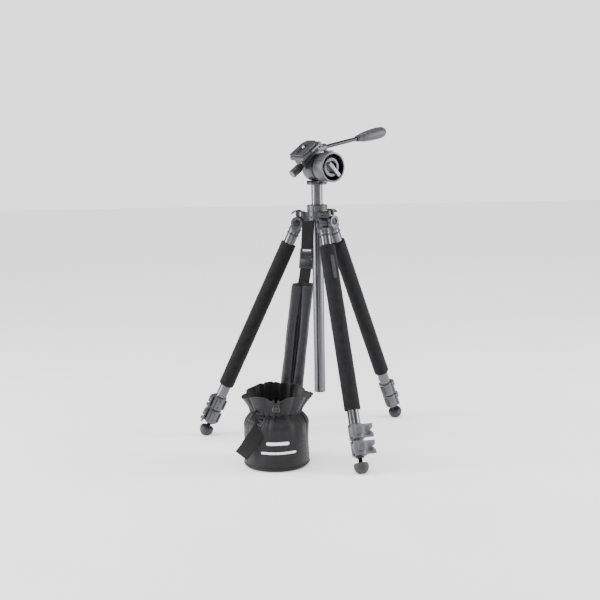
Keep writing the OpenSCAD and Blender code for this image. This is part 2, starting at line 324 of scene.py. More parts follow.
def fit(
    piece: bpy.types.Object, body: str, finish: "Finish", stands_for: Sequence[str] = ()
) -> bpy.types.Object:
    """Dresses a piece, fixes it to its body and reports it.

    Args:
        piece: the piece, in place.
        body: the CAD body that carries it.
        finish: what it is made of.
        stands_for: CAD nodes that the piece replaces.

    Returns:
        The same object.
    """
    piece.data.materials.clear()
    piece.data.materials.append(finish.material())
    if stands_for:
        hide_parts(*stands_for)
    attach(piece, body)
    LOG.info("%s rides on %s, %d faces", piece.name, body, len(piece.data.polygons))
    return piece


# ---------------------------------------------------------------------------
# Finishes
# ---------------------------------------------------------------------------


class Recipe:
    """A material under construction: a short way to add and join shader nodes."""

    def __init__(self, name: str) -> None:
        """Starts a node material that has only its shader."""
        self.material = bpy.data.materials.new(name)
        self.material.use_nodes = True
        self.tree = self.material.node_tree
        self.shader = self.tree.nodes["Principled BSDF"]

    def add(self, kind: str, settings: dict | None = None, **inputs: object) -> bpy.types.Node:
        """Adds a node.

        Args:
            kind: the node's type name after "ShaderNode".
            settings: properties to set on the node.
            inputs: sockets by name, spaces as underscores; a node or socket is linked.

        Returns:
            The new node.
        """
        node = self.tree.nodes.new("ShaderNode" + kind)
        for key, value in (settings or {}).items():
            setattr(node, key, value)
        for key, value in inputs.items():
            self.feed(node, key.replace("_", " "), value)
        return node

    def feed(self, node: bpy.types.Node, socket: str | int, value: object) -> None:
        """Sets or links one input of a node."""
        target = node.inputs[int(socket) if str(socket).isdigit() else socket]
        if isinstance(value, bpy.types.Node):
            value = value.outputs[0]
        if isinstance(value, bpy.types.NodeSocket):
            self.tree.links.new(value, target)
        else:
            target.default_value = value

    def place(self, stretch: Point = (1, 1, 1), turn: Point = (0, 0, 0)) -> bpy.types.NodeSocket:
        """Returns object coordinates, turned and then stretched."""
        source = self.add("TexCoord").outputs["Object"]
        mapping = self.add("Mapping", {"vector_type": "TEXTURE"}, Vector=source)
        mapping.inputs["Rotation"].default_value = turn
        scaled = self.add("VectorMath", {"operation": "MULTIPLY"})
        self.tree.links.new(mapping.outputs[0], scaled.inputs[0])
        scaled.inputs[1].default_value = stretch
        return scaled.outputs[0]

    def grain(self, where: bpy.types.NodeSocket, scale: float,
              detail: float = 3.0) -> bpy.types.Node:
        """Adds a noise texture and returns it."""
        return self.add("TexNoise", Vector=where, Scale=scale, Detail=detail)

    def ramp(self, source: object, low: Point, high: Point,
             span: tuple[float, float] = (0.3, 0.7)) -> bpy.types.Node:
        """Adds a colour ramp between two colours and returns it."""
        node = self.add("ValToRGB", Fac=source)
        stops = node.color_ramp.elements
        stops[0].position, stops[1].position = span
        stops[0].color, stops[1].color = (*low, 1), (*high, 1)
        return node

    def spread(self, source: object, low: float, high: float) -> bpy.types.Node:
        """Adds a node that maps 0..1 to a range of values and returns it."""
        return self.add("MapRange", Value=source, To_Min=low, To_Max=high)

    def relief(self, height: object, depth_mm: float, strength: float = 1.0) -> None:
        """Adds bump of a real depth to the shader, on top of any bump before it."""
        bump = self.add("Bump", Height=height, Strength=strength, Distance=depth_mm * MM)
        normal = self.shader.inputs["Normal"]
        if normal.is_linked:
            self.tree.links.new(normal.links[0].from_socket, bump.inputs["Normal"])
        self.feed(self.shader, "Normal", bump)


@dataclass(frozen=True)
class Finish:
    """One finish: what every kind has in common."""

    name: str
    colour: tuple[float, float, float]
    roughness: float = 0.5
    metallic: float = 0.0
    specular: float = 0.5

    def material(self) -> bpy.types.Material:
        """Returns this finish's material, made the first time it is asked for."""
        known = bpy.data.materials.get(self.name)
        if known:
            return known
        recipe = Recipe(self.name)
        recipe.shader.inputs["Metallic"].default_value = self.metallic
        recipe.shader.inputs["Specular IOR Level"].default_value = self.specular
        recipe.material.diffuse_color = (*self.colour, 1)
        self.detail(recipe)
        return recipe.material

    def shades(self, contrast: float) -> tuple[Point, Point]:
        """Returns a darker and a lighter tone of the colour."""
        return (
            [c * (1 - contrast) for c in self.colour],
            [min(1.0, c * (1 + contrast)) for c in self.colour],
        )

    def detail(self, recipe: Recipe) -> None:
        """Adds the pattern of this finish."""
        raise NotImplementedError


@dataclass(frozen=True)
class Anodised(Finish):
    """Drawn and anodised tube: fine lines along the tube, faint cloudiness."""

    turn: tuple[float, float, float] = (0, 0, 0)

    def detail(self, recipe: Recipe) -> None:
        """Adds drawing lines along the tube's own direction."""
        lines = recipe.grain(recipe.place((1, 1, 0.012), self.turn), 2600, 2)
        cloud = recipe.grain(recipe.place(), 38, 3)
        low, high = self.shades(0.10)
        tone = recipe.add("Mix", {"data_type": "FLOAT"}, Factor=0.5)
        recipe.feed(tone, "2", lines)
        recipe.feed(tone, "3", cloud)
        recipe.feed(recipe.shader, "Base Color", recipe.ramp(tone.outputs[0], low, high))
        recipe.feed(recipe.shader, "Roughness",
                    recipe.spread(lines, self.roughness - 0.05, self.roughness + 0.07))
        recipe.relief(lines, 0.0012)


@dataclass(frozen=True)
class TexturedPaint(Finish):
    """Fine-textured paint or moulding: a tight orange-peel grain and rubbed edges."""

    grain_mm: float = 0.5
    depth_mm: float = 0.03
    wear: float = 0.25

    def detail(self, recipe: Recipe) -> None:
        """Adds the grain, tone changes and lighter rubbed edges."""
        here = recipe.place()
        grain = recipe.grain(here, 1 / (self.grain_mm * MM), 2)
        cloud = recipe.grain(here, 60, 4)
        low, high = self.shades(0.16)
        tone = recipe.ramp(cloud, low, high, (0.25, 0.75))
        edge = recipe.add("NewGeometry").outputs["Pointiness"]
        rubbed = recipe.spread(edge, 0.0, 1.0)
        rubbed.inputs["From Min"].default_value = 0.53
        rubbed.inputs["From Max"].default_value = 0.62
        broken = recipe.add("Math", {"operation": "MULTIPLY"})
        recipe.feed(broken, "0", rubbed)
        recipe.feed(broken, "1", recipe.spread(recipe.grain(here, 220, 3), 0.0, self.wear))
        worn = recipe.add("Mix", {"data_type": "RGBA"}, Factor=broken)
        recipe.feed(worn, "6", tone)
        recipe.feed(worn, "7", (*[min(1, c * 2.2 + 0.05) for c in self.colour], 1))
        recipe.feed(recipe.shader, "Base Color", worn.outputs[2])
        recipe.feed(recipe.shader, "Roughness",
                    recipe.spread(cloud, self.roughness - 0.06, self.roughness + 0.08))
        recipe.relief(grain, self.depth_mm)


@dataclass(frozen=True)
class Foam(Finish):
    """Closed-cell foam: small pits, dusty high spots and no shine."""

    def detail(self, recipe: Recipe) -> None:
        """Adds the cells and a soft bloom."""
        here = recipe.place()
        cells = recipe.add("TexVoronoi", Vector=here, Scale=1500.0)
        cloud = recipe.grain(here, 90, 5)
        low, high = self.shades(0.3)
        recipe.feed(recipe.shader, "Base Color", recipe.ramp(cloud, low, high))
        recipe.feed(recipe.shader, "Roughness",
                    recipe.spread(cells, self.roughness - 0.08, self.roughness))
        recipe.shader.inputs["Sheen Weight"].default_value = 0.05
        recipe.shader.inputs["Sheen Roughness"].default_value = 0.5
        recipe.relief(cells, 0.12, 0.6)
        recipe.relief(cloud, 0.15, 0.35)


@dataclass(frozen=True)
class Rubber(Finish):
    """Moulded rubber: soft sheen, dust in the pores and a faint mottle."""

    def detail(self, recipe: Recipe) -> None:
        """Adds pores and scuffs."""
        here = recipe.place()
        pores = recipe.grain(here, 1400, 2)
        scuff = recipe.grain(here, 120, 5)
        low, high = self.shades(0.22)
        recipe.feed(recipe.shader, "Base Color", recipe.ramp(scuff, low, high))
        recipe.feed(recipe.shader, "Roughness",
                    recipe.spread(scuff, self.roughness - 0.1, self.roughness + 0.08))
        recipe.relief(pores, 0.008)


@dataclass(frozen=True)
class Woven(Finish):
    """Woven nylon on its own UV map: two sets of yarns over and under each other."""

    across: float = 40.0
    along: float = 400.0
    depth_mm: float = 0.12
    sheen: float = 0.3

    def detail(self, recipe: Recipe) -> None:
        """Adds yarns both ways, with a slow change of tone."""
        here = recipe.add("TexCoord").outputs["UV"]
        split = recipe.add("SeparateXYZ", Vector=here)
        waves = []
        for socket, count in ((0, self.across), (1, self.along)):
            turn = recipe.add("Math", {"operation": "MULTIPLY"})
            recipe.feed(turn, "0", split.outputs[socket])
            recipe.feed(turn, "1", count * math.tau)
            waves.append(recipe.add("Math", {"operation": "SINE"}))
            recipe.feed(waves[-1], "0", turn)
        yarn = recipe.add("Math", {"operation": "MULTIPLY"})
        recipe.feed(yarn, "0", waves[0])
        recipe.feed(yarn, "1", waves[1])
        over = recipe.add("MapRange", Value=yarn)
        over.inputs["From Min"].default_value = -1.0
        cloud = recipe.grain(recipe.place(), 45, 4)
        low, high = self.shades(0.4)
        mixed = recipe.add("Math", {"operation": "MULTIPLY_ADD"})
        recipe.feed(mixed, "0", over)
        recipe.feed(mixed, "1", 0.35)
        recipe.feed(mixed, "2", cloud)
        recipe.feed(recipe.shader, "Base Color", recipe.ramp(mixed, low, high, (0.35, 1.0)))
        recipe.feed(recipe.shader, "Roughness",
                    recipe.spread(over, self.roughness + 0.06, self.roughness - 0.04))
        recipe.shader.inputs["Sheen Weight"].default_value = self.sheen
        recipe.shader.inputs["Sheen Roughness"].default_value = 0.35
        recipe.relief(over, self.depth_mm)


@dataclass(frozen=True)
class PadCloth(Finish):
    """Tightly woven nylon over padding: a fine cross weave in object space and small creases."""

    def detail(self, recipe: Recipe) -> None:
        """Adds yarns along two directions, creases and a soft sheen."""
        here = recipe.place()
        upright = recipe.add("TexWave", {"wave_type": "BANDS", "bands_direction": "Z"}, Vector=here,
                             Scale=480.0, Distortion=0.4)
        level = recipe.add("TexWave", {"wave_type": "BANDS", "bands_direction": "X"}, Vector=here,
                           Scale=480.0, Distortion=0.4)
        weave = recipe.add("Math", {"operation": "MULTIPLY"})
        recipe.feed(weave, "0", upright.outputs[1])
        recipe.feed(weave, "1", level.outputs[1])
        crease = recipe.grain(recipe.place((1, 1, 2.2)), 60, 5)
        low, high = self.shades(0.28)
        recipe.feed(recipe.shader, "Base Color", recipe.ramp(crease, low, high))
        recipe.feed(recipe.shader, "Roughness",
                    recipe.spread(weave, self.roughness + 0.08, self.roughness - 0.04))
        recipe.shader.inputs["Sheen Weight"].default_value = 0.1
        recipe.shader.inputs["Sheen Roughness"].default_value = 0.35
        recipe.relief(weave, 0.06)
        recipe.relief(crease, 0.5, 0.35)


@dataclass(frozen=True)
class Machined(Finish):
    """Bare or blackened steel: fine turning marks and small stains."""

    def detail(self, recipe: Recipe) -> None:
        """Adds marks and stains."""
        here = recipe.place()
        marks = recipe.grain(recipe.place((1, 1, 6)), 900, 3)
        stain = recipe.grain(here, 160, 4)
        low, high = self.shades(0.18)
        recipe.feed(recipe.shader, "Base Color", recipe.ramp(stain, low, high))
        recipe.feed(recipe.shader, "Roughness",
                    recipe.spread(marks, self.roughness - 0.06, self.roughness + 0.1))
        recipe.relief(marks, 0.006)


@dataclass(frozen=True)
class Printed(Finish):
    """Screen print on cloth: slightly uneven, with the weave showing through."""

    def detail(self, recipe: Recipe) -> None:
        """Adds thin spots in the ink."""
        here = recipe.place()
        thin = recipe.grain(here, 420, 4)
        low, high = self.shades(0.1)
        recipe.feed(recipe.shader, "Base Color", recipe.ramp(thin, low, high, (0.25, 0.55)))
        recipe.feed(recipe.shader, "Roughness",
                    recipe.spread(thin, self.roughness + 0.1, self.roughness - 0.05))
        recipe.relief(recipe.grain(here, 1900, 1), 0.03)


CASTING = TexturedPaint("casting paint", (0.060, 0.060, 0.070), 0.36, 0.45, grain_mm=0.7,
                        depth_mm=0.035)
CASTING_LIGHT = TexturedPaint("casting paint light", (0.165, 0.165, 0.185), 0.36, 0.45,
                              grain_mm=0.7, depth_mm=0.03)
# A darker copy of the casting paint. It is painted shade, used on the pan casting for the dark gap
# between the tilt block and the drum.
CASTING_SHADE_PAINTED = TexturedPaint("casting paint with painted shade", (0.020, 0.020, 0.024), 0.38, 0.45, grain_mm=0.7,
                             depth_mm=0.03)
LOCK_PLASTIC = TexturedPaint("lock plastic", (0.078, 0.078, 0.090), 0.40, grain_mm=0.8,
                             depth_mm=0.03)
LOCK_DARK = TexturedPaint("lock plastic dark", (0.014, 0.014, 0.016), 0.42, grain_mm=0.8,
                          depth_mm=0.03, wear=0.15)
BLACK_PLASTIC = TexturedPaint("black plastic", (0.007, 0.007, 0.008), 0.36, grain_mm=0.6,
                              depth_mm=0.02, wear=0.1)
BUCKLE_PLASTIC = TexturedPaint("buckle plastic", (0.015, 0.015, 0.018), 0.32, grain_mm=1.0,
                               depth_mm=0.01, wear=0.2)
GRIP_FOAM = Foam("grip foam", (0.0105, 0.0105, 0.0115), 0.93, specular=0.14)
FOOT_RUBBER = Rubber("foot rubber", (0.030, 0.030, 0.033), 0.55, specular=0.35)
GRIP_RUBBER = Rubber("handle rubber", (0.040, 0.040, 0.048), 0.44, specular=0.4)
PLATE_RUBBER = Rubber("plate rubber", (0.036, 0.036, 0.042), 0.55, specular=0.35)
STRAP_WEBBING = Woven("strap webbing", (0.007, 0.007, 0.008), 0.62, specular=0.25, across=18,
                      along=260, sheen=0.1)
PAD_CLOTH = Woven("pad cloth", (0.009, 0.009, 0.011), 0.55, specular=0.3, across=70, along=560,
                  depth_mm=0.08, sheen=0.1)
POUCH_CLOTH = Woven("pouch cloth", (0.0065, 0.0065, 0.0078), 0.50, specular=0.3, across=720,
                    along=330, depth_mm=0.07, sheen=0.12)
CORD_BRAID = Woven("cord braid", (0.007, 0.007, 0.008), 0.55, specular=0.3, across=6, along=60,
                   depth_mm=0.08, sheen=0.1)
BRIGHT_STEEL = Machined("bright steel", (0.78, 0.78, 0.79), 0.22, 1.0)
BLACK_STEEL = Machined("black steel", (0.022, 0.022, 0.025), 0.30, 0.7)
WHITE_PRINT = Printed("white print", (0.86, 0.86, 0.86), 0.55)
PAD_PLAIN = PadCloth("pad nylon", (0.0135, 0.0135, 0.0165), 0.44, specular=0.4)
HEM_CLOTH = PadCloth("hem nylon", (0.009, 0.009, 0.0105), 0.46, specular=0.4)
THREAD = Rubber("sewing thread", (0.016, 0.016, 0.018), 0.6, specular=0.3)
GREY_EMBOSS = Foam("pressed foam", (0.030, 0.030, 0.033), 0.7, specular=0.3)


def tube_finish(name: str, direction: Vector) -> Anodised:
    """Returns the anodised finish with its drawing lines along one direction.

    Args:
        name: which tube it is for.
        direction: the tube's axis.
    """
    turn = direction.to_track_quat("Z", "Y").to_euler()
    return Anodised(f"anodised {name}", (0.12, 0.12, 0.132), 0.28, 1.0, turn=tuple(turn))


# ---------------------------------------------------------------------------
# Shared small hardware
# ---------------------------------------------------------------------------


def screw_thread(
    name: str, radius_mm: float, pitch_mm: float, low_mm: float, high_mm: float, core_mm: float
) -> bpy.types.Object:
    """Winds a thread round a plain core on +Z.

    Args:
        name: the name of the piece.
        radius_mm: the radius over the crests.
        pitch_mm: the rise of one turn.
        low_mm: where the core and the thread start.
        high_mm: where they end.
        core_mm: the radius of the core.

    Returns:
        The new mesh object.
    """
    half = pitch_mm * 0.5
    turns = int((high_mm - low_mm - pitch_mm) / pitch_mm)
    bpy.ops.object.select_all(action="DESELECT")
    bpy.ops.mesh.primitive_circle_add(
        vertices=4, radius=half * MM, fill_type="NOTHING", rotation=(math.pi / 2, 0, 0),
        location=((radius_mm - half * 0.9) * MM, 0, (low_mm + half) * MM),
    )
    coil = named(bpy.context.object, name)
    bpy.ops.object.transform_apply(location=True, rotation=True, scale=True)
    winding = coil.modifiers.new("winding", "SCREW")
    winding.screw_offset = pitch_mm * MM
    winding.iterations = turns
    winding.steps = winding.render_steps = 24
    winding.use_merge_vertices = False
    apply_modifiers(coil)
    recalculate(coil)
    core = turned(name + "_core", [(low_mm, core_mm), (high_mm, core_mm)], 32)
    return joined(name, [coil, core])


def socket_screw(name: str, radius_mm: float, height_mm: float) -> bpy.types.Object:
    """Makes a cap screw's head on +Z, standing on z = 0, with a hexagon socket."""
    head = turned(
        name, [(0, radius_mm), (height_mm - 0.4, radius_mm), (height_mm, radius_mm - 0.4)], 36
    )
    bpy.ops.object.select_all(action="DESELECT")
    bpy.ops.mesh.primitive_cylinder_add(
        vertices=6, radius=radius_mm * 0.52 * MM, depth=height_mm * MM,
        location=(0, 0, height_mm * MM),
    )
    return cut_out(head, [bpy.context.object])


def cut_out(piece: bpy.types.Object, tools: Sequence[bpy.types.Object]) -> bpy.types.Object:
    """Cuts tool shapes out of a piece and removes the tools.

    Args:
        piece: the piece that is cut.
        tools: closed meshes.

    Returns:
        The same piece.
    """
    for tool in tools:
        cutter = piece.modifiers.new("cut", "BOOLEAN")
        cutter.operation = "DIFFERENCE"
        cutter.solver = "EXACT"
        cutter.object = tool
    apply_modifiers(piece)
    for tool in tools:
        bpy.data.objects.remove(tool)
    return piece


def slab(
    name: str, low: Point, high: Point, radius_mm: float, segments: int = 3
) -> bpy.types.Object:
    """Makes a block with rounded edges between two corners in millimetres."""
    return rounded(block(name, low, high), radius_mm, segments)


# ---------------------------------------------------------------------------
# Legs
# ---------------------------------------------------------------------------


@dataclass
class Leg:
    """One telescoping leg, from its shoulder hinge down to its foot (millimetres)."""

    side: LegSide
    tube_r: float = 13.0
    middle_r: float = 11.2
    foam_r: float = 18.0
    foam_top: float = 53.0
    foam_end: float = 432.0
    locks: tuple[tuple[str, float, float], ...] = (("upper", 465.0, 497.0), ("lower", 501.0, 533.0))
    foot_centre: float = 555.5
    foot_r: float = 16.5
    foot_bore: float = 5.3

    @property
    def name(self) -> str:
        """Returns the start of this leg's piece and node names."""
        return self.side.prefix

    @property
    def frame(self) -> Matrix:
        """Returns this leg's own frame."""
        return STANCE.leg(self.side.azimuth)

    def build(self) -> None:
        """Builds and dresses the whole leg."""
        self.dress_tubes()
        self.build_bracket()
        self.build_foam()
        for stage, top, end in self.locks:
            self.build_lock(stage, top, end)
        self.build_foot()
        self.build_angle_lever()

    def dress_tubes(self) -> None:
        """Gives the three tubes their anodised finish."""
        axis = self.frame.to_3x3() @ Vector((0, 0, 1))
        finish = tube_finish(self.name, axis)
        for part in ("upper_tube", "middle_tube", "lower_tube"):
            dress_node(f"{self.name}_{part}", finish)

    def build_bracket(self) -> None:
        """Builds the forked bracket and the dark collar where the tube leaves it."""
        node = f"{self.name}_bracket"
        fit(finished_copy(node, node + "_casting", 1.0, 3), self.name, CASTING)
        collar = turned(f"{self.name}_tube_collar",
                        [(-31.0, 13.02), (-31.0, 14.0), (-30.6, 14.4), (-27.4, 14.4), (-27.0, 14.0),
                         (-27.0, 13.02), (-31.0, 13.02)],
                        64, closed=False)
        smooth(collar, 40)
        fit(place(collar, self.frame), self.name, LOCK_DARK)

    def foam_profile(self) -> list[tuple[float, float]]:
        """Returns the stations of the foam sleeve, with its rolled ends."""
        low, high, corner = -self.foam_end, -self.foam_top, 3.0
        inner = self.tube_r + 0.05
        stations = [(low, inner)]
        for step in range(7):
            turn = math.pi / 2 * step / 6
            stations.append((low + corner * (1 - math.cos(turn)),
                             self.foam_r - corner * (1 - math.sin(turn))))
        count = 38
        for step in range(1, count):
            height = low + corner + (high - low - 2 * corner) * step / count
            swell = 0.10 * math.sin(step * 1.7) + 0.07 * math.sin(step * 0.61 + 1)
            stations.append((height, self.foam_r + swell - 0.12))
        for step in range(6, -1, -1):
            turn = math.pi / 2 * step / 6
            stations.append((high - corner * (1 - math.cos(turn)),
                             self.foam_r - corner * (1 - math.sin(turn))))
        stations += [(high, inner), (low, inner)]
        return stations

    def build_foam(self) -> None:
        """Builds the foam grip, with a plain pressed bar on the front leg."""
        grip = turned(f"{self.name}_foam_sleeve", self.foam_profile(), 72, closed=False)
        smooth(grip, 60)
        fit(place(grip, self.frame), self.name, GRIP_FOAM, [f"{self.name}_foam_grip"])
        if self.side is LegSide.FRONT:
            self.build_pressed_bar(grip)

    def build_pressed_bar(self, grip: bpy.types.Object) -> None:
        """Lays a plain raised bar along the outer face of the foam.

        Args:
            grip: the foam sleeve that the bar lies on.
        """
        length, width, top = 56.0, 10.5, 80.0
        bpy.ops.object.select_all(action="DESELECT")
        bpy.ops.mesh.primitive_grid_add(x_subdivisions=14, y_subdivisions=60, size=1)
        bar = named(bpy.context.object, f"{self.name}_pressed_bar")
        bar.scale = (width * MM, length * MM, 1)
        bpy.ops.object.transform_apply(scale=True)
        with editing(bar, "VERT") as mesh:
            for vertex in mesh.verts:
                over = abs(vertex.co.y) - (length - width) / 2 * MM
                if over > 0:
                    reach = width / 2 * MM
                    vertex.co.x *= math.sqrt(max(0.02, 1 - (over / reach) ** 2))
        facing = math.radians(97.0)
        stand = Matrix.Rotation(math.pi / 2, 4, "X")
        upright = (Matrix.Rotation(facing, 4, "Z")
                   @ Matrix.Translation((0, -22 * MM, -(top + length / 2) * MM)))
        place(bar, self.frame @ upright @ stand)
        wrap = bar.modifiers.new("wrap", "SHRINKWRAP")
        wrap.target = grip
        wrap.wrap_method = "NEAREST_SURFACEPOINT"
        wrap.wrap_mode = "OUTSIDE_SURFACE"
        wrap.offset = 0.55 * MM
        wall = bar.modifiers.new("wall", "SOLIDIFY")
        wall.thickness = 0.6 * MM
        wall.offset = -1
        apply_modifiers(bar)
        smooth(bar, 50)
        fit(bar, self.name, GREY_EMBOSS)

    def build_lock(self, stage: str, top: float, end: float) -> None:
        """Builds one flip lock: clamp, seal, screws, lever, ribs and pin heads.

        Args:
            stage: "upper" or "lower".
            top: where the lock starts, along the leg.
            end: where it ends.
        """
        node = f"{self.name}_{stage}_lock"
        body = self.name if stage == "upper" else f"{self.name}_middle"
        lever_body = f"{self.name}_{stage}_lever"
        tube = self.tube_r if stage == "upper" else self.middle_r
        fit(finished_copy(node + "_body", node + "_clamp", 0.7, 3), body, LOCK_PLASTIC)
        lever = finished_copy(node + "_lever", node + "_flip_lever", 0.5, 2)
        fit(lever, lever_body, LOCK_PLASTIC)
        seal = turned(node + "_seal", [(-top - 0.4, tube + 0.02), (-top - 0.4, 15.0),
                                       (-top + 1.0, 15.0), (-top + 1.6, 14.6),
                                       (-top + 1.6, tube + 0.02), (-top - 0.4, tube + 0.02)], 64,
                      closed=False)
        smooth(seal, 40)
        fit(place(seal, self.frame), body, LOCK_DARK)
        middle = -(top + end) / 2
        along_x = Matrix.Rotation(-math.pi / 2, 4, "Y")
        for number, height in enumerate((middle - 8.5, middle + 8.5)):
            head = socket_screw(f"{node}_screw_{number + 1}", 2.3, 1.6)
            seat = Matrix.Translation((-6 * MM, 15.2 * MM, height * MM)) @ along_x
            fit(place(head, self.frame @ seat), body, BLACK_STEEL)
        ribs = []
        for number in range(4):
            out = 17.0 + number * 2.6
            ribs.append(slab(f"{node}_rib_{number}", (15.4, out, middle - 10.5),
                             (16.25, out + 1.2, middle + 10.5), 0.35, 2))
        ribs = joined(node + "_thumb_ribs", ribs)
        fit(place(ribs, self.frame), lever_body, LOCK_PLASTIC)
        crown = slab(node + "_lever_crown", (17.4, -8.5, middle - 6.5), (24.4, 9.5, middle + 11.5),
                     3.4, 5)
        smooth(crown, 40)
        fit(place(crown, self.frame), lever_body, LOCK_PLASTIC)
        toe = slab(node + "_lever_toe", (15.0, 24.0, middle - 10.0), (20.8, 30.0, middle - 1.5),
                   2.2, 4)
        smooth(toe, 40)
        fit(place(toe, self.frame), lever_body, LOCK_PLASTIC)
        spine = slab(node + "_clamp_spine", (-18.9, -5.0, middle - 12.0),
                     (-14.6, 5.0, middle + 12.0), 1.3, 3)
        smooth(spine, 40)
        fit(place(spine, self.frame), body, LOCK_DARK)
        heads = [turned(f"{node}_pin_{number}", [(height, 1.3), (height + 0.9, 1.3)], 24)
                 for number, height in enumerate((-top - 0.3, -end - 0.6))]
        heads = joined(node + "_pin_heads", heads)
        pin = Matrix.Translation((5.6 * MM, -15.7 * MM, 0))
        fit(place(heads, self.frame @ pin), body, BRIGHT_STEEL)

    def foot_profile(self) -> list[tuple[float, float]]:
        """Returns the stations of the foot: a ball with a flat knurled top and a tread ring."""
        centre, radius = -self.foot_centre, self.foot_r
        stations = []
        for step in range(27):
            polar = math.radians(-90 + 19 + step * (112 - 19) / 26)
            height, width = centre + radius * math.sin(polar), radius * math.cos(polar)
            if 13 <= step <= 14:
                width -= 0.7
            stations.append((height, width))
        top = centre + 7.5
        stations = [s for s in stations if s[0] < top - 0.6]
        rim = stations[-1][1]
        low = stations[0][0]
        hole = self.foot_bore
        return ([(low + 1.5, hole), (low, hole + 0.4)] + stations
                + [(top - 0.1, rim - 0.8), (top, rim - 1.6), (top, 9.6), (top - 1.2, 9.2),
                   (top - 1.2, 7.4),
                   (top, 7.0), (top, hole + 0.5), (top - 1.0, hole), (low + 1.5, hole)])

    def build_foot(self) -> None:
        """Builds the rubber ball foot and the threaded spike that it turns on."""
        foot = turned(f"{self.name}_ball_foot", self.foot_profile(), 72, closed=False)
        notches = []
        for number in range(12):
            bpy.ops.object.select_all(action="DESELECT")
            turn = math.radians(number * 30)
            bpy.ops.mesh.primitive_cylinder_add(
                vertices=16, radius=1.5 * MM, depth=6 * MM,
                location=(15.9 * MM * math.cos(turn), 15.9 * MM * math.sin(turn),
                          (-self.foot_centre + 7.5) * MM),
            )
            notches.append(bpy.context.object)
        foot = cut_out(foot, notches)
        smooth(foot, 40)
        fit(place(foot, self.frame), f"{self.name}_foot", FOOT_RUBBER,
            [f"{self.name}_rubber_foot"])
        stem = screw_thread(f"{self.name}_threaded_stem", 5.0, 1.5, -562.0, -533.0, 4.3)
        tip = turned(f"{self.name}_tip", [(-569, 0.8), (-561, 4.9), (-559, 4.9)], 32)
        ferrule = turned(f"{self.name}_ferrule",
                         [(-537.2, 8.2), (-537.2, 9.4), (-536.8, 9.8), (-534.2, 9.8), (-533.8, 9.5),
                                                  (-533.8, 8.2), (-537.2, 8.2)], 48, closed=False)
        ring = turned(f"{self.name}_plug", [(-537.0, 8.3), (-520.0, 8.3)], 48)
        spike = joined(f"{self.name}_threaded_spike", [stem, tip, ring])
        smooth(spike, 35)
        fit(place(spike, self.frame), f"{self.name}_lower", BLACK_STEEL,
            [f"{self.name}_spike_stem"])
        smooth(ferrule, 40)
        fit(place(ferrule, self.frame), f"{self.name}_lower", LOCK_DARK)

    def build_angle_lever(self) -> None:
        """Builds the pawl over the hinge."""
        node = f"{self.name}_angle_lever"
        body = f"{self.name}_pawl"
        fit(finished_copy(node, node + "_pawl", 0.7, 3), body, LOCK_DARK)


def dress_node(node: str, finish: Finish) -> None:
    """Gives a CAD node a finish and leaves its mesh as it is.

    Args:
        node: the CAD node.
        finish: what it is made of.
    """
    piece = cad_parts[node]
    if not piece.material_slots:
        piece.data.materials.append(None)
    for entry in piece.material_slots:
        entry.material = finish.material()
    LOG.info("%s keeps its CAD shape", node)


# ---------------------------------------------------------------------------
# Shoulder and column
# ---------------------------------------------------------------------------


@dataclass
class Shoulder:
    """The three-armed casting, its bolts and the column lock (millimetres)."""

    sleeve_r: float = 22.5
    screw_z: float = 531.0
    collar_top: float = 557.9

    def build(self) -> None:
        """Builds and dresses the shoulder."""
        fit(finished_copy("shoulder_casting", "shoulder_body", 1.0, 3), "shoulder", CASTING)
        fit(finished_copy("hinge_bolts", "leg_hinge_bolts", 0.4, 2), "shoulder", BLACK_STEEL)
        fit(finished_copy("column_lock_collar", "column_lock_ring", 0.6, 3), "column_lock", CASTING)
        self.build_screws()
        self.build_friction_ring()

    def build_screws(self) -> None:
        """Builds the three set screws in the sleeve, between the arms."""
        for number, azimuth in enumerate((-13.2, 106.8, 226.8)):
            head = socket_screw(f"sleeve_screw_{number + 1}", 2.6, 1.4)
            face = Matrix.Translation((self.sleeve_r * MM - 0.0003, 0,
                                       self.screw_z * MM)) @ Matrix.Rotation(math.pi / 2, 4, "Y")
            fit(place(head, Matrix.Rotation(math.radians(azimuth), 4, "Z") @ face), "shoulder",
                BLACK_STEEL)

    def build_friction_ring(self) -> None:
        """Builds the dark bush that shows round the column on top of the lock ring."""
        top = self.collar_top
        ring = turned("column_bush", [(top - 3, 13.35), (top - 3, 16.2), (top + 0.5, 16.2),
                                      (top + 1.1, 15.6), (top + 1.1, 13.35),
                                      (top - 3, 13.35)], 72, closed=False)
        smooth(ring, 40)
        fit(ring, "column_lock", LOCK_DARK)


@dataclass
class Column:
    """The rising centre column (millimetres)."""

    radius: float = 13.0
    foot: float = 118.8

    def build(self) -> None:
        """Dresses the column and builds its end cap."""
        dress_node("center_column", tube_finish("column", Vector((0, 0, 1))))
        cap = finished_copy("column_end_cap", "column_cap", 0.5, 3)
        fit(cap, "column", LOCK_DARK)


# ---------------------------------------------------------------------------
# Head
# ---------------------------------------------------------------------------


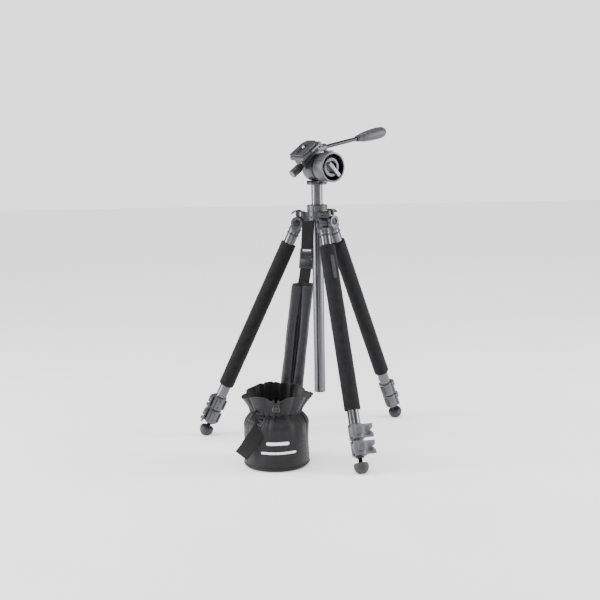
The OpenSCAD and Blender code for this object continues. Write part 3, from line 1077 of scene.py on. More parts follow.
@dataclass
class Head:
    """The pan-and-tilt head, its handle and its quick plate (millimetres)."""

    drum_bore: float = 30.5
    drum_face: float = 60.0
    drum_floor: float = 34.0
    hub_r: float = 21.0
    hub_face: float = 54.0
    hub_bore: float = 15.0
    plate_top: float = 58.0
    screw_x: float = -5.5

    def build(self) -> None:
        """Builds and dresses the head from the column up."""
        copies = (
            ("head_base", "head_seat", 0.6, "column", CASTING, "grey_casting"),
            # The pan casting takes the darker copy of the paint as painted shade for the gap between
            # the tilt block and the drum.
            ("pan_body", "pan_casting", 0.8, "pan_head", CASTING_SHADE_PAINTED, "grey_casting"),
            ("tilt_drum", "drum_casting", 0.6, "pan_head", CASTING, "grey_casting"),
            ("tilt_wing", "drum_wing_bar", 0.8, "wing", CASTING_LIGHT, "grey_casting"),
            ("tilt_body", "tilt_casting", 1.0, "tilt_block", CASTING, "grey_casting"),
            ("platform", "platform_casting", 0.9, "platform", CASTING, "grey_casting"),
            ("plate_lever", "plate_clamp_lever", 0.5, "plate_latch", CASTING_LIGHT, "bright_steel"),
            ("quick_plate", "quick_plate_body", 0.5, "quick_release_plate", LOCK_DARK,
             "black_plastic"),
            ("video_pin", "locating_pin_body", 0.4, "locating_pin", BLACK_STEEL, "black_plastic"),
        )
        for node, name, width, body, finish, slot in copies:
            fit(finished_copy(node, name, width, 3), body, finish)
        self.build_drum_liner()
        self.build_barrel_trim()
        self.build_knob()
        self.build_handle()
        self.build_platform_ribs()
        self.build_plate_top()
        self.build_camera_screw()

    @property
    def drum_frame(self) -> Matrix:
        """Returns the frame of the drum, +Z out of its open face."""
        return STANCE.pan_frame() @ Matrix.Rotation(math.pi / 2, 4, "X")

    def build_drum_liner(self) -> None:
        """Builds the black cup inside the drum and the black ring in the hub's recess; these are black
        plastic liners whose black also paints the shade in these recesses.
        """
        floor, bore, face = self.drum_floor + 0.08, self.drum_bore - 0.04, self.drum_face - 0.8
        hub = self.hub_r + 0.06
        # Partly painted shade: the thin black cup lines the drum's bore and floor, so its black also
        # stands for the shade inside the drum.
        cup = turned("drum_liner_painted_shade", [(floor, hub), (floor, bore), (face, bore), (face, bore - 0.6),
                                    (floor + 0.6, bore - 0.6),
                                    (floor + 0.6, hub), (floor, hub)], 96, closed=False)
        smooth(cup, 40)
        fit(place(cup, self.drum_frame), "pan_head", BLACK_PLASTIC)
        step = self.hub_bore - 0.05
        # Partly painted shade: the thin black ring lines the hub's recess, so its black also stands
        # for the shade in it.
        ring = turned("hub_recess_shade_ring", [(36.2, step), (self.hub_face - 1.2, step),
                                          (self.hub_face - 1.2, step - 0.5),
                                          (36.2, step - 0.5), (36.2, step)], 72, closed=False)
        smooth(ring, 40)
        fit(place(ring, self.drum_frame), "pan_head", BLACK_PLASTIC)

    def build_barrel_trim(self) -> None:
        """Builds the dark disc between the barrel and the drum's arm, a friction disc whose black also
        paints the shade in the gap there.
        """
        side = STANCE.tilt_frame() @ Matrix.Rotation(math.pi / 2, 4, "X")
        # Partly painted shade: this black disc also stands for the shade in the gap between the barrel
        # and the drum's arm.
        disc = turned("barrel_friction_disc_gap_shade",
                      [(18.0, 9.3), (18.0, 28.2), (18.9, 28.2), (19.3, 27.6), (19.3, 9.3),
                       (18.0, 9.3)], 96, closed=False)
        smooth(disc, 40)
        fit(place(disc, side), "tilt_block", BLACK_PLASTIC)
        far = STANCE.tilt_frame() @ Matrix.Rotation(-math.pi / 2, 4, "X")
        cap = turned("barrel_end_cap", [(14.6, 23.6), (15.1, 23.6), (15.25, 23.3), (15.25, 20.0),
                                        (15.1, 19.6)], 96)
        smooth(cap, 30)
        fit(place(cap, far), "tilt_block", LOCK_DARK)
        screw = socket_screw("barrel_end_screw", 5.2, 0.6)
        fit(place(screw, far @ Matrix.Translation((0, 0, 14.68 * MM))), "tilt_block", BLACK_STEEL)

    def build_knob(self) -> None:
        """Builds the knurled side-tilt knob and its grey end cap."""
        line = (STANCE.tilt_frame() @ Matrix.Translation((0, 0, 28 * MM))
                @ Matrix.Rotation(-math.pi / 2, 4, "Y"))
        knob = turned("side_tilt_knob_body",
                      [(36.2, 4.1), (36.2, 6.8), (41.0, 7.0), (41.4, 8.6), (42.0, 9.3), (43.0, 9.6),
                       (65.5, 9.6),
                                              (66.6, 9.2), (67.0, 8.4)], 72)
        flutes = []
        for number in range(18):
            turn = math.radians(number * 20)
            bpy.ops.object.select_all(action="DESELECT")
            bpy.ops.mesh.primitive_cylinder_add(
                vertices=12, radius=0.95 * MM, depth=21 * MM,
                location=(10.05 * MM * math.cos(turn), 10.05 * MM * math.sin(turn), 55 * MM),
            )
            flutes.append(bpy.context.object)
        knob = cut_out(knob, flutes)
        smooth(knob, 30)
        fit(place(knob, line), "side_knob", BLACK_PLASTIC, ["side_tilt_knob"])
        cap = turned("side_tilt_knob_cap",
                     [(66.6, 7.6), (67.4, 7.6), (68.0, 7.1), (68.0, 5.2), (67.5, 4.8)], 72)
        smooth(cap, 30)
        fit(place(cap, line), "side_knob", CASTING_LIGHT)

    def build_handle(self) -> None:
        """Builds the handle's collar, rod trim and moulded grip."""
        dress_node("handle_rod", BLACK_STEEL)
        line = STANCE.handle()
        profile = [(0.2, 4.9), (0, 7.3), (0.5, 7.8), (4, 8.1), (8, 8.9), (12, 10.0), (18, 11.2),
                   (24, 12.0), (32, 12.75), (40, 13.3),
                   (48, 13.75), (56, 13.95), (62, 13.95), (69, 13.7), (75, 13.1), (79, 12.2),
                   (82, 11.0), (84.6, 9.3), (86.6, 7.1),
                   (87.9, 4.6), (88.6, 2.2), (88.8, 0.6)]
        grip = turned("handle_moulded_grip", profile, 72)
        smooth(grip, 50)
        move = line @ Matrix.Translation((0, 0, 108 * MM))
        fit(place(grip, move), "handle", GRIP_RUBBER, ["handle_grip"])
        neck = turned("handle_neck_collar",
                      [(-3.5, 4.8), (-3.5, 6.4), (-3.0, 7.0), (2.0, 8.3), (4.4, 8.5), (4.8, 8.35),
                       (4.8, 4.8), (-3.5, 4.8)],
                      64, closed=False)
        smooth(neck, 35)
        fit(place(neck, move), "handle", LOCK_DARK)
        collar = turned("handle_root_collar",
                        [(3.0, 4.85), (3.0, 8.2), (3.6, 8.8), (8.2, 8.4), (9.0, 7.6), (9.0, 4.85),
                         (3.0, 4.85)],
                        64, closed=False)
        smooth(collar, 35)
        fit(place(collar, line), "handle", LOCK_DARK)

    def build_platform_ribs(self) -> None:
        """Builds the stepped light band under the front of the platform."""
        ribs = []
        for number, (height, half) in enumerate(((47.6, 22.5), (44.6, 20.5), (41.4, 12.2),
                                                 (38.6, 11.6), (35.8, 11.0))):
            ribs.append(slab(f"band_{number}", (-36.3, -half, height - 0.75),
                             (-34.6, half, height + 0.75), 0.6, 3))
        band = joined("platform_front_ribs", ribs)
        fit(place(band, STANCE.tilt_frame()), "platform", CASTING_LIGHT)

    def build_plate_top(self) -> None:
        """Builds the ribbed rubber pads on the quick plate."""
        top = self.plate_top
        pads = []
        for number in range(19):
            across = -31.2 + number * 2.75
            reach = 21.6 if across < 12 else 21.6 - (across - 12) * 0.8
            for side in (-1, 1):
                near_screw = abs(across - self.screw_x) < 10.5
                near_pin = abs(across + 22.5) < 5.2
                inner = 10.0 if near_screw else (5.0 if near_pin else 0.4)
                low, high = sorted((side * inner, side * reach))
                pads.append(slab(f"pad_{number}_{side}", (across - 0.85, low, top - 0.3),
                                 (across + 0.85, high, top + 0.55), 0.35, 2))
        mat = joined("quick_plate_rubber_ribs", pads)
        fit(place(mat, STANCE.tilt_frame()), "quick_release_plate", PLATE_RUBBER)
        washer = turned("camera_screw_washer",
                        [(top - 0.2, 3.4), (top - 0.2, 9.4), (top + 0.35, 9.4), (top + 0.6, 9.0),
                         (top + 0.6, 3.4),
                                                (top - 0.2, 3.4)], 64, closed=False)
        smooth(washer, 35)
        spot = STANCE.tilt_frame() @ Matrix.Translation((self.screw_x * MM, 0, 0))
        fit(place(washer, spot), "quick_release_plate", BLACK_STEEL)

    def build_camera_screw(self) -> None:
        """Builds the quarter-inch camera screw with its thread."""
        thread = screw_thread("camera_screw_thread", 3.175, 1.27, 51.5, 63.4, 2.75)
        head = turned("camera_screw_head", [(50.9, 7.6), (51.3, 8.0), (53.9, 8.0), (54.2, 7.7)], 48)
        screw = joined("camera_screw_body", [thread, head])
        smooth(screw, 35)
        spot = STANCE.tilt_frame() @ Matrix.Translation((self.screw_x * MM, 0, 0))
        fit(place(screw, spot), "screw", BRIGHT_STEEL, ["camera_screw"])


# ---------------------------------------------------------------------------
# Soft goods: strap
# ---------------------------------------------------------------------------


def curve_through(points: Sequence[Point], count: int) -> np.ndarray:
    """Runs a smooth curve through given points.

    Args:
        points: points in millimetres.
        count: how many points to return.

    Returns:
        Evenly numbered points on a uniform Catmull-Rom curve, in metres.
    """
    knots = np.array(points, float)
    padded = np.vstack([2 * knots[0] - knots[1], knots, 2 * knots[-1] - knots[-2]])
    along = np.linspace(0, len(knots) - 1, count)
    cell = np.minimum(along.astype(int), len(knots) - 2)
    part = (along - cell)[:, None]
    a, b, c, d = (padded[cell + k] for k in range(4))
    bend = 0.5 * (2 * b + (c - a) * part + (2 * a - 5 * b + 4 * c - d) * part**2
                  + (3 * b - a - 3 * c + d) * part**3)
    return bend * MM


def mesh_piece(
    name: str, points: np.ndarray, faces: Sequence[Sequence[int]], uv: np.ndarray | None = None
) -> bpy.types.Object:
    """Makes a mesh object from points and faces, with an optional UV for each point."""
    data = bpy.data.meshes.new(name)
    data.from_pydata([tuple(p) for p in points], [], [tuple(f) for f in faces])
    data.validate()
    piece = bpy.data.objects.new(name, data)
    bpy.context.scene.collection.objects.link(piece)
    if uv is not None:
        layer = data.uv_layers.new(name="UVMap")
        for loop in data.loops:
            layer.data[loop.index].uv = uv[loop.vertex_index]
    return piece


def grid_faces(rows: int, columns: int, wrap: bool) -> list[tuple[int, int, int, int]]:
    """Returns quads over a grid of points, closed round the columns if wrap is set."""
    last = columns if wrap else columns - 1
    return [
        (row * columns + column, row * columns + (column + 1) % columns,
         (row + 1) * columns + (column + 1) % columns, (row + 1) * columns + column)
        for row in range(rows - 1)
        for column in range(last)
    ]


def webbing(
    name: str, path: np.ndarray, across: Point, width_mm: float, thick_mm: float = 1.5,
    crown_mm: float = 0.0
) -> bpy.types.Object:
    """Makes a flat woven strap along a path.

    Args:
        name: the name of the piece.
        path: points along the strap's middle, in metres.
        across: the direction of the strap's width.
        width_mm: its width.
        thick_mm: its thickness.
        crown_mm: how far its middle stands proud.

    Returns:
        The new mesh object, with UVs along and across.
    """
    columns = 9
    run = np.gradient(path, axis=0)
    run /= np.linalg.norm(run, axis=1)[:, None]
    side = np.array(across, float)[None, :] - run * (run @ np.array(across, float))[:, None]
    side /= np.linalg.norm(side, axis=1)[:, None]
    out = np.cross(side, run)
    travelled = np.concatenate([[0], np.cumsum(np.linalg.norm(np.diff(path, axis=0), axis=1))])
    points, uv = [], []
    for row in range(len(path)):
        for column in range(columns):
            share = column / (columns - 1) * 2 - 1
            lift = crown_mm * (1 - share * share)
            points.append(path[row] + side[row] * share * width_mm / 2 * MM + out[row] * lift * MM)
            uv.append((column / (columns - 1), travelled[row] / 0.5))
    piece = mesh_piece(name, np.array(points), grid_faces(len(path), columns, False), np.array(uv))
    wall = piece.modifiers.new("wall", "SOLIDIFY")
    wall.thickness = thick_mm * MM
    wall.offset = 0
    edge = piece.modifiers.new("edge", "BEVEL")
    edge.width = thick_mm * 0.42 * MM
    edge.segments = 2
    edge.limit_method = "ANGLE"
    edge.angle_limit = math.radians(60)
    apply_modifiers(piece)
    smooth(piece, 50)
    return piece


def stitches(
    name: str, path: np.ndarray, out: Point, length_mm: float = 2.4, gap_mm: float = 1.0,
    radius_mm: float = 0.28
) -> bpy.types.Object:
    """Lays a row of short sewn stitches along a path.

    Args:
        name: the name of the piece.
        path: points along the seam, on the surface, in metres.
        out: the direction away from the cloth.
        length_mm: the length of one stitch.
        gap_mm: the gap between two.
        radius_mm: the thickness of the thread.

    Returns:
        The new mesh object.
    """
    steps = np.concatenate([[0], np.cumsum(np.linalg.norm(np.diff(path, axis=0), axis=1))])
    pitch = (length_mm + gap_mm) * MM
    lift = np.array(out, float) / np.linalg.norm(out) * radius_mm * MM
    points, faces = [], []
    for number in range(int(steps[-1] / pitch)):
        ends = [np.array([np.interp(at, steps, path[:, k]) for k in range(3)])
                for at in (number * pitch, number * pitch + length_mm * MM)]
        run = ends[1] - ends[0]
        run /= np.linalg.norm(run)
        side = np.cross(run, lift)
        side = side / np.linalg.norm(side) * radius_mm * MM
        start = len(points)
        for share, puff in ((0, 0.35), (0.25, 1), (0.75, 1), (1, 0.35)):
            middle = ends[0] + (ends[1] - ends[0]) * share
            for turn in range(6):
                angle = math.tau * turn / 6
                points.append(middle + (lift * math.sin(angle) + side * math.cos(angle)) * puff
                              + lift * 0.3)
        faces += [tuple(start + i for i in face) for face in grid_faces(4, 6, True)]
        faces.append(tuple(start + i for i in range(5, -1, -1)))
        faces.append(tuple(start + 18 + i for i in range(6)))
    piece = mesh_piece(name, np.array(points), faces)
    recalculate(piece)
    smooth(piece, 60)
    return piece


def round_tube(
    name: str, path: np.ndarray, radius_mm: float | np.ndarray, sides: int = 12,
    closed: bool = False
) -> bpy.types.Object:
    """Sweeps a round cord along a path, with UVs along and round it.

    Args:
        name: the name of the piece.
        path: points along the middle, in metres.
        radius_mm: one radius, or one for each point.
        sides: how many sides the cord has.
        closed: whether the path is a loop.

    Returns:
        The new mesh object.
    """
    count = len(path)
    radii = np.full(count, radius_mm) if np.isscalar(radius_mm) else np.array(radius_mm)
    run = np.roll(path, -1, axis=0) - np.roll(path, 1, axis=0) if closed else np.gradient(path, axis=0)
    run /= np.linalg.norm(run, axis=1)[:, None]
    side = np.cross(run[0], (0.3, 0.2, 0.93))
    side /= np.linalg.norm(side)
    points, uv, travelled = [], [], 0.0
    for row in range(count):
        side = side - run[row] * (side @ run[row])
        side /= np.linalg.norm(side)
        other = np.cross(run[row], side)
        if row:
            travelled += float(np.linalg.norm(path[row] - path[row - 1]))
        for turn in range(sides):
            angle = math.tau * turn / sides
            points.append(path[row] + (side * math.cos(angle) + other * math.sin(angle))
                          * radii[row] * MM)
            uv.append((turn / sides, travelled / 0.1))
    faces = grid_faces(count, sides, True)
    if closed:
        last = (count - 1) * sides
        twist = min(range(sides), key=lambda k: np.linalg.norm(points[last] - points[k]))
        faces += [(last + k, last + (k + 1) % sides, (k + 1 + twist) % sides,
                   (k + twist) % sides) for k in range(sides)]
    else:
        faces += [tuple(range(sides - 1, -1, -1)),
                  tuple((count - 1) * sides + k for k in range(sides))]
    piece = mesh_piece(name, np.array(points), faces, np.array(uv))
    with editing(piece, "FACE"):
        bpy.ops.mesh.select_all(action="SELECT")
        bpy.ops.mesh.normals_make_consistent(inside=False)
    smooth(piece, 50)
    return piece


@dataclass
class Strap:
    """The carrying strap: webbing, side-release buckle, sewn pad and lower webbing (mm)."""

    socket: tuple[tuple[float, float, float], ...] = ((-26.8, -51.6, 437.0), (-25.6, -48.2, 461.0))
    plug: tuple[tuple[float, float, float], ...] = ((-29.2, -57.0, 417.0), (-27.1, -52.4, 434.4))
    web_w: float = 28.0
    buckle_w: float = 32.0
    pad_line: tuple[tuple[float, float, float], ...] = (
        (-36.8, -61.8, 383.0), (-41.6, -68.2, 345.0), (-47.6, -75.2, 300.0), (-51.5, -80.2, 266.0),
        (-57.0, -86.4, 222.0), (-63.0, -92.6, 175.0), (-68.5, -99.0, 130.0),
    )
    lobe_offsets: tuple[float, ...] = (11.9, 12.6, 14.0, 14.4, 14.2, 13.7, 13.2)
    lobe_w: float = 13.0
    lobe_t: float = 7.4

    def build(self) -> None:
        """Builds the strap from the shoulder down to the pouch."""
        self.build_upper_webbing()
        self.build_socket()
        self.build_plug()
        self.build_lower_link()
        self.build_pad()
        self.build_tail_to_pouch()

    def build_upper_webbing(self) -> None:
        """Builds the webbing looped through the casting's bar, with its sewn end."""
        outer = curve_through([(-25.3, -47.4, 459.5), (-24.4, -44.2, 474), (-23.4, -40.4, 489),
                               (-22.2, -35.4, 506),
                               (-21.6, -32.6, 516), (-21.5, -31.9, 521), (-21.5, -29.6, 523.4),
                               (-21.5, -27.1, 521.6)], 64)
        strap = webbing("strap_upper_webbing_front", outer, (1, 0.02, 0.02), self.web_w, 1.5)
        fit(strap, "shoulder", STRAP_WEBBING, ["strap_upper_webbing"])
        inner = curve_through([(-25.0, -45.3, 462.5), (-24.1, -42.2, 474), (-23.1, -38.4, 489),
                               (-22.1, -33.9, 504),
                               (-21.7, -31.4, 512)], 40)
        under = webbing("strap_upper_webbing_back", inner, (1, 0.02, 0.02), self.web_w - 0.6, 1.4)
        fit(under, "shoulder", STRAP_WEBBING)
        rows = []
        for number, height in enumerate((497.0, 500.5)):
            share = (height - 489) / 17
            y = -40.4 + share * 5.0
            rows.append(stitches(f"row_{number}", np.array([(-22.7 - 11.5, y - 0.85, height),
                                                            (-22.7 + 11.5, y - 0.85, height)]) * MM,
                                 (0, -1, 0.3)))
        seam = joined("strap_upper_box_stitch", rows)
        fit(seam, "shoulder", PAD_CLOTH)

    def along(self, ends: tuple[tuple[float, float, float], ...]) -> Matrix:
        """Returns a frame at the lower end, +Z to the upper end and +X kept level."""
        low, high = Vector(ends[0]), Vector(ends[1])
        up = (high - low).normalized()
        across = Vector((1, 0.02, 0)).normalized()
        across = (across - up * across.dot(up)).normalized()
        deep = up.cross(across)
        turn = Matrix((across, deep, up)).transposed().to_4x4()
        return Matrix.Translation(low * MM) @ turn

    def build_socket(self) -> None:
        """Builds the buckle's socket: rounded shell, side windows, pressed panel and bar."""
        half = self.buckle_w / 2
        shell = slab("buckle_socket_shell", (-half, -4.6, 1.2), (half, 4.6, 18.6), 2.6, 5)
        tools = []
        for side in (-1, 1):
            tool = slab("window", (side * (half + 2) - 5, -2.9, 4.2),
                        (side * (half + 2) + 5, 2.9, 13.6), 2.4, 4)
            tools.append(tool)
        tools.append(slab("panel", (-9.5, -6.0, 5.0), (9.5, -4.1, 14.6), 0.8, 3))
        tools.append(slab("mouth", (-half + 2.4, -2.9, -3), (half - 2.4, 2.9, 6), 0.8, 2))
        shell = cut_out(shell, tools)
        posts = [slab("post", (side * (half - 3.6) - 3.0, -3.2, 15.5),
                      (side * (half - 3.6) + 3.0, 3.2, 25.6), 1.3, 3) for side in (-1, 1)]
        bars = [slab("bar", (-half + 1.2, -3.4, 22.8), (half - 1.2, 2.4, 25.8), 1.3, 4),
                slab("inner_bar", (-half + 2, -2.2, 18.9), (half - 2, 0.4, 20.9), 0.9, 3),
                slab("grip_1", (-7.0, -4.5, 6.6), (7.0, -3.9, 7.8), 0.3, 2),
                slab("grip_2", (-7.0, -4.5, 9.2), (7.0, -3.9, 10.4), 0.3, 2),
                slab("grip_3", (-7.0, -4.5, 11.8), (7.0, -3.9, 13.0), 0.3, 2)]
        whole = joined("buckle_socket_body", [shell] + posts + bars)
        smooth(whole, 35)
        fit(place(whole, self.along(self.socket)), "shoulder", BUCKLE_PLASTIC,
            ["buckle_socket"])

    def build_plug(self) -> None:
        """Builds the buckle's plug: shoulder, two bowed prongs, centre tongue and bar."""
        half = self.buckle_w / 2
        pieces = [slab("bridge", (-half, -4.2, 3.4), (half, 4.2, 22.4), 2.0, 4),
                  slab("tongue", (-3.2, -1.6, 16), (3.2, 1.6, 31), 0.8, 3),
                  slab("lower_bar", (-half + 1, -3.2, 0.2), (half - 1, 2.6, 3.8), 1.4, 4),
                  slab("middle_bar", (-half + 2, -1.8, 6.4), (half - 2, 1.0, 8.6), 0.9, 3)]
        for side in (-1, 1):
            low, high = sorted((side * half, side * (half - 3.4)))
            pieces.append(slab("cheek", (low, -3.4, 0.6), (high, 3.4, 14), 1.4, 3))
            low, high = sorted((side * (half - 1.2), side * (half - 4.4)))
            pieces.append(slab("prong", (low, -2.2, 16), (high, 2.2, 30.5), 1.0, 3))
            low, high = sorted((side * (half + 0.4), side * (half - 4.4)))
            pieces.append(slab("catch", (low, -2.3, 25.5), (high, 2.3, 31.5), 1.2, 3))
        plug = joined("buckle_plug_body", pieces)
        smooth(plug, 35)
        fit(place(plug, self.along(self.plug)), "shoulder", BUCKLE_PLASTIC,
            ["buckle_plug"])

    def build_lower_link(self) -> None:
        """Builds the webbing between the buckle and the pad."""
        path = curve_through([(-29.0, -57.2, 418.6), (-30.4, -58.4, 408), (-32.4, -60.0, 396),
                              (-34.6, -61.4, 385), (-35.6, -62.6, 375)], 40)
        link = webbing("strap_middle_webbing_front", path, (1, 0.02, 0.02), 25.5, 1.5)
        fit(link, "shoulder", STRAP_WEBBING)
        back = path.copy()
        back[:, 1] += 2.3 * MM
        under = webbing("strap_middle_webbing_back", back[3:], (1, 0.02, 0.02), 25.0, 1.4)
        fit(under, "shoulder", STRAP_WEBBING)

    def lobe_path(self, side: int, count: int) -> np.ndarray:
        """Returns the middle line of one lobe of the pad."""
        points = [(x + side * offset, y, z) for (x, y, z),
                  offset in zip(self.pad_line, self.lobe_offsets)]
        return curve_through(points, count)

    def lobe_shape(self, side: int) -> bpy.types.Object:
        """Makes the flat starting shape of one lobe, a long lens with blunt ends."""
        count, sides = 62, 20
        path = self.lobe_path(side, count)
        points = []
        for row in range(count):
            share = row / (count - 1)
            blunt = min(1.0, (min(share, 1 - share) * (count - 1) + 0.25) / 2.4) ** 0.5
            full = 1 + 0.17 * math.sin(math.pi * share)
            for turn in range(sides):
                angle = math.tau * turn / sides
                flat = abs(math.cos(angle)) ** 0.75 * math.copysign(1, math.cos(angle))
                points.append(path[row] + np.array([flat * self.lobe_w * full * (0.9 + 0.1 * blunt),
                                                    math.sin(angle) * self.lobe_t * 0.62 * blunt,
                                                    0]) * MM)
        faces = grid_faces(count, sides, True)
        faces += [tuple(range(sides)), tuple((count - 1) * sides + k
                                             for k in range(sides - 1, -1, -1))]
        lobe = mesh_piece(f"lobe_{side}", np.array(points), faces)
        recalculate(lobe)
        return lobe

    def build_pad(self) -> None:
        """Builds the two padded lobes by inflating cloth, then the binding and the seams."""
        for side, label in ((-1, "left"), (1, "right")):
            lobe = self.lobe_shape(side)
            pad = inflated(lobe, f"strap_pad_{label}_lobe", cap_mm=4.0)
            self.wrinkle(pad, side)
            smooth(pad, 60)
            fit(pad, "shoulder", PAD_PLAIN, ["strap_pad"])
        path = curve_through([(x, y - 0.4, z) for x, y, z in self.pad_line], 90)
        spine = webbing("strap_pad_centre_seam", path[1:-1], (1, 0, 0), 4.6, 1.6)
        fit(spine, "shoulder", PAD_CLOTH)
        back = path.copy()
        back[:, 1] += 5.2 * MM
        lining = webbing("strap_pad_back_lining", back[1:-1], (1, 0, 0), 44.0, 1.6)
        fit(lining, "shoulder", PAD_CLOTH)
        rows = [stitches(f"seam_{side}", path[2:-2] + np.array([side * 1.5, -0.95, 0]) * MM,
                         (0, -1, 0.1), 2.6, 1.2, 0.25)
                for side in (-1, 1)]
        seam = joined("strap_pad_stitching", rows)
        fit(seam, "shoulder", THREAD)
        top = np.array([(-36.8 - 23.5, -62.6, 381.5), (-36.8 - 12, -66.4, 383.4),
                        (-36.8, -64.2, 384.0), (-36.8 + 12, -66.4, 383.4),
                        (-36.8 + 23.5, -62.6, 381.5)])
        binding = webbing("strap_pad_top_binding", curve_through(top, 50), (0, 0.25, 1), 7.0, 1.5,
                          0.4)
        fit(binding, "shoulder", STRAP_WEBBING)

    def wrinkle(self, pad: bpy.types.Object, side: int) -> None:
        """Presses soft cross wrinkles into a lobe, deeper towards its lower end.

        Args:
            pad: the inflated lobe.
            side: -1 for the left lobe, 1 for the right one.
        """
        low, high = self.pad_line[-1][2] * MM, self.pad_line[0][2] * MM
        for vertex in pad.data.vertices:
            share = (high - vertex.co.z) / (high - low)
            depth = 0.25 + 0.75 * share**2
            wave = (math.sin(vertex.co.z / MM * 0.42 + side + 0.9
                             * math.sin(vertex.co.x / MM * 0.21))
                    + 0.6 * math.sin(vertex.co.z / MM * 0.171 + 2 * side) + 0.5
                    * math.sin(vertex.co.z / MM * 0.93 + vertex.co.x / MM * 0.1))
            vertex.co += vertex.normal * wave * depth * 0.2 * MM

    def build_tail_to_pouch(self) -> None:
        """Builds the webbing from the pad's lower end to the back of the pouch."""
        path = curve_through([(-68.3, -98.6, 140), (-70.4, -100.8, 122), (-74.5, -105.0, 106),
                              (-79.5, -110.4, 90), (-82.6, -114.0, 76),
                              (-84.0, -115.4, 62), (-84.4, -115.6, 50)], 60)
        tail = webbing("strap_lower_webbing", path, (1, -0.22, 0.05), 25.0, 1.6)
        fit(tail, "shoulder", STRAP_WEBBING)


def inflated(source: bpy.types.Object, name: str, cap_mm: float) -> bpy.types.Object:
    """Puffs a closed shape out like stuffed cloth, by a short cloth simulation.

    Args:
        source: the flat closed shape, already an even net of about 4 mm; it is used up.
        name: the name of the piece.
        cap_mm: how far a point may move.

    Returns:
        The finished mesh object.
    """
    piece = named(source, name)
    start = [vertex.co.copy() for vertex in piece.data.vertices]
    cloth = piece.modifiers.new("cloth", "CLOTH")
    cloth.settings.quality = 5
    cloth.settings.use_pressure = True
    cloth.settings.uniform_pressure_force = 4
    cloth.settings.effector_weights.gravity = 0
    for step in range(1, 21):
        bpy.context.scene.frame_set(step)
    apply_modifiers(piece)
    bpy.context.scene.frame_set(1)
    for vertex, was in zip(piece.data.vertices, start):
        move = vertex.co - was
        if move.length > cap_mm * MM:
            vertex.co = was + move.normalized() * cap_mm * MM
    finer = piece.modifiers.new("finer", "SUBSURF")
    finer.levels = finer.render_levels = 1
    apply_modifiers(piece)
    return piece


# ---------------------------------------------------------------------------
# Soft goods: pouch
# ---------------------------------------------------------------------------


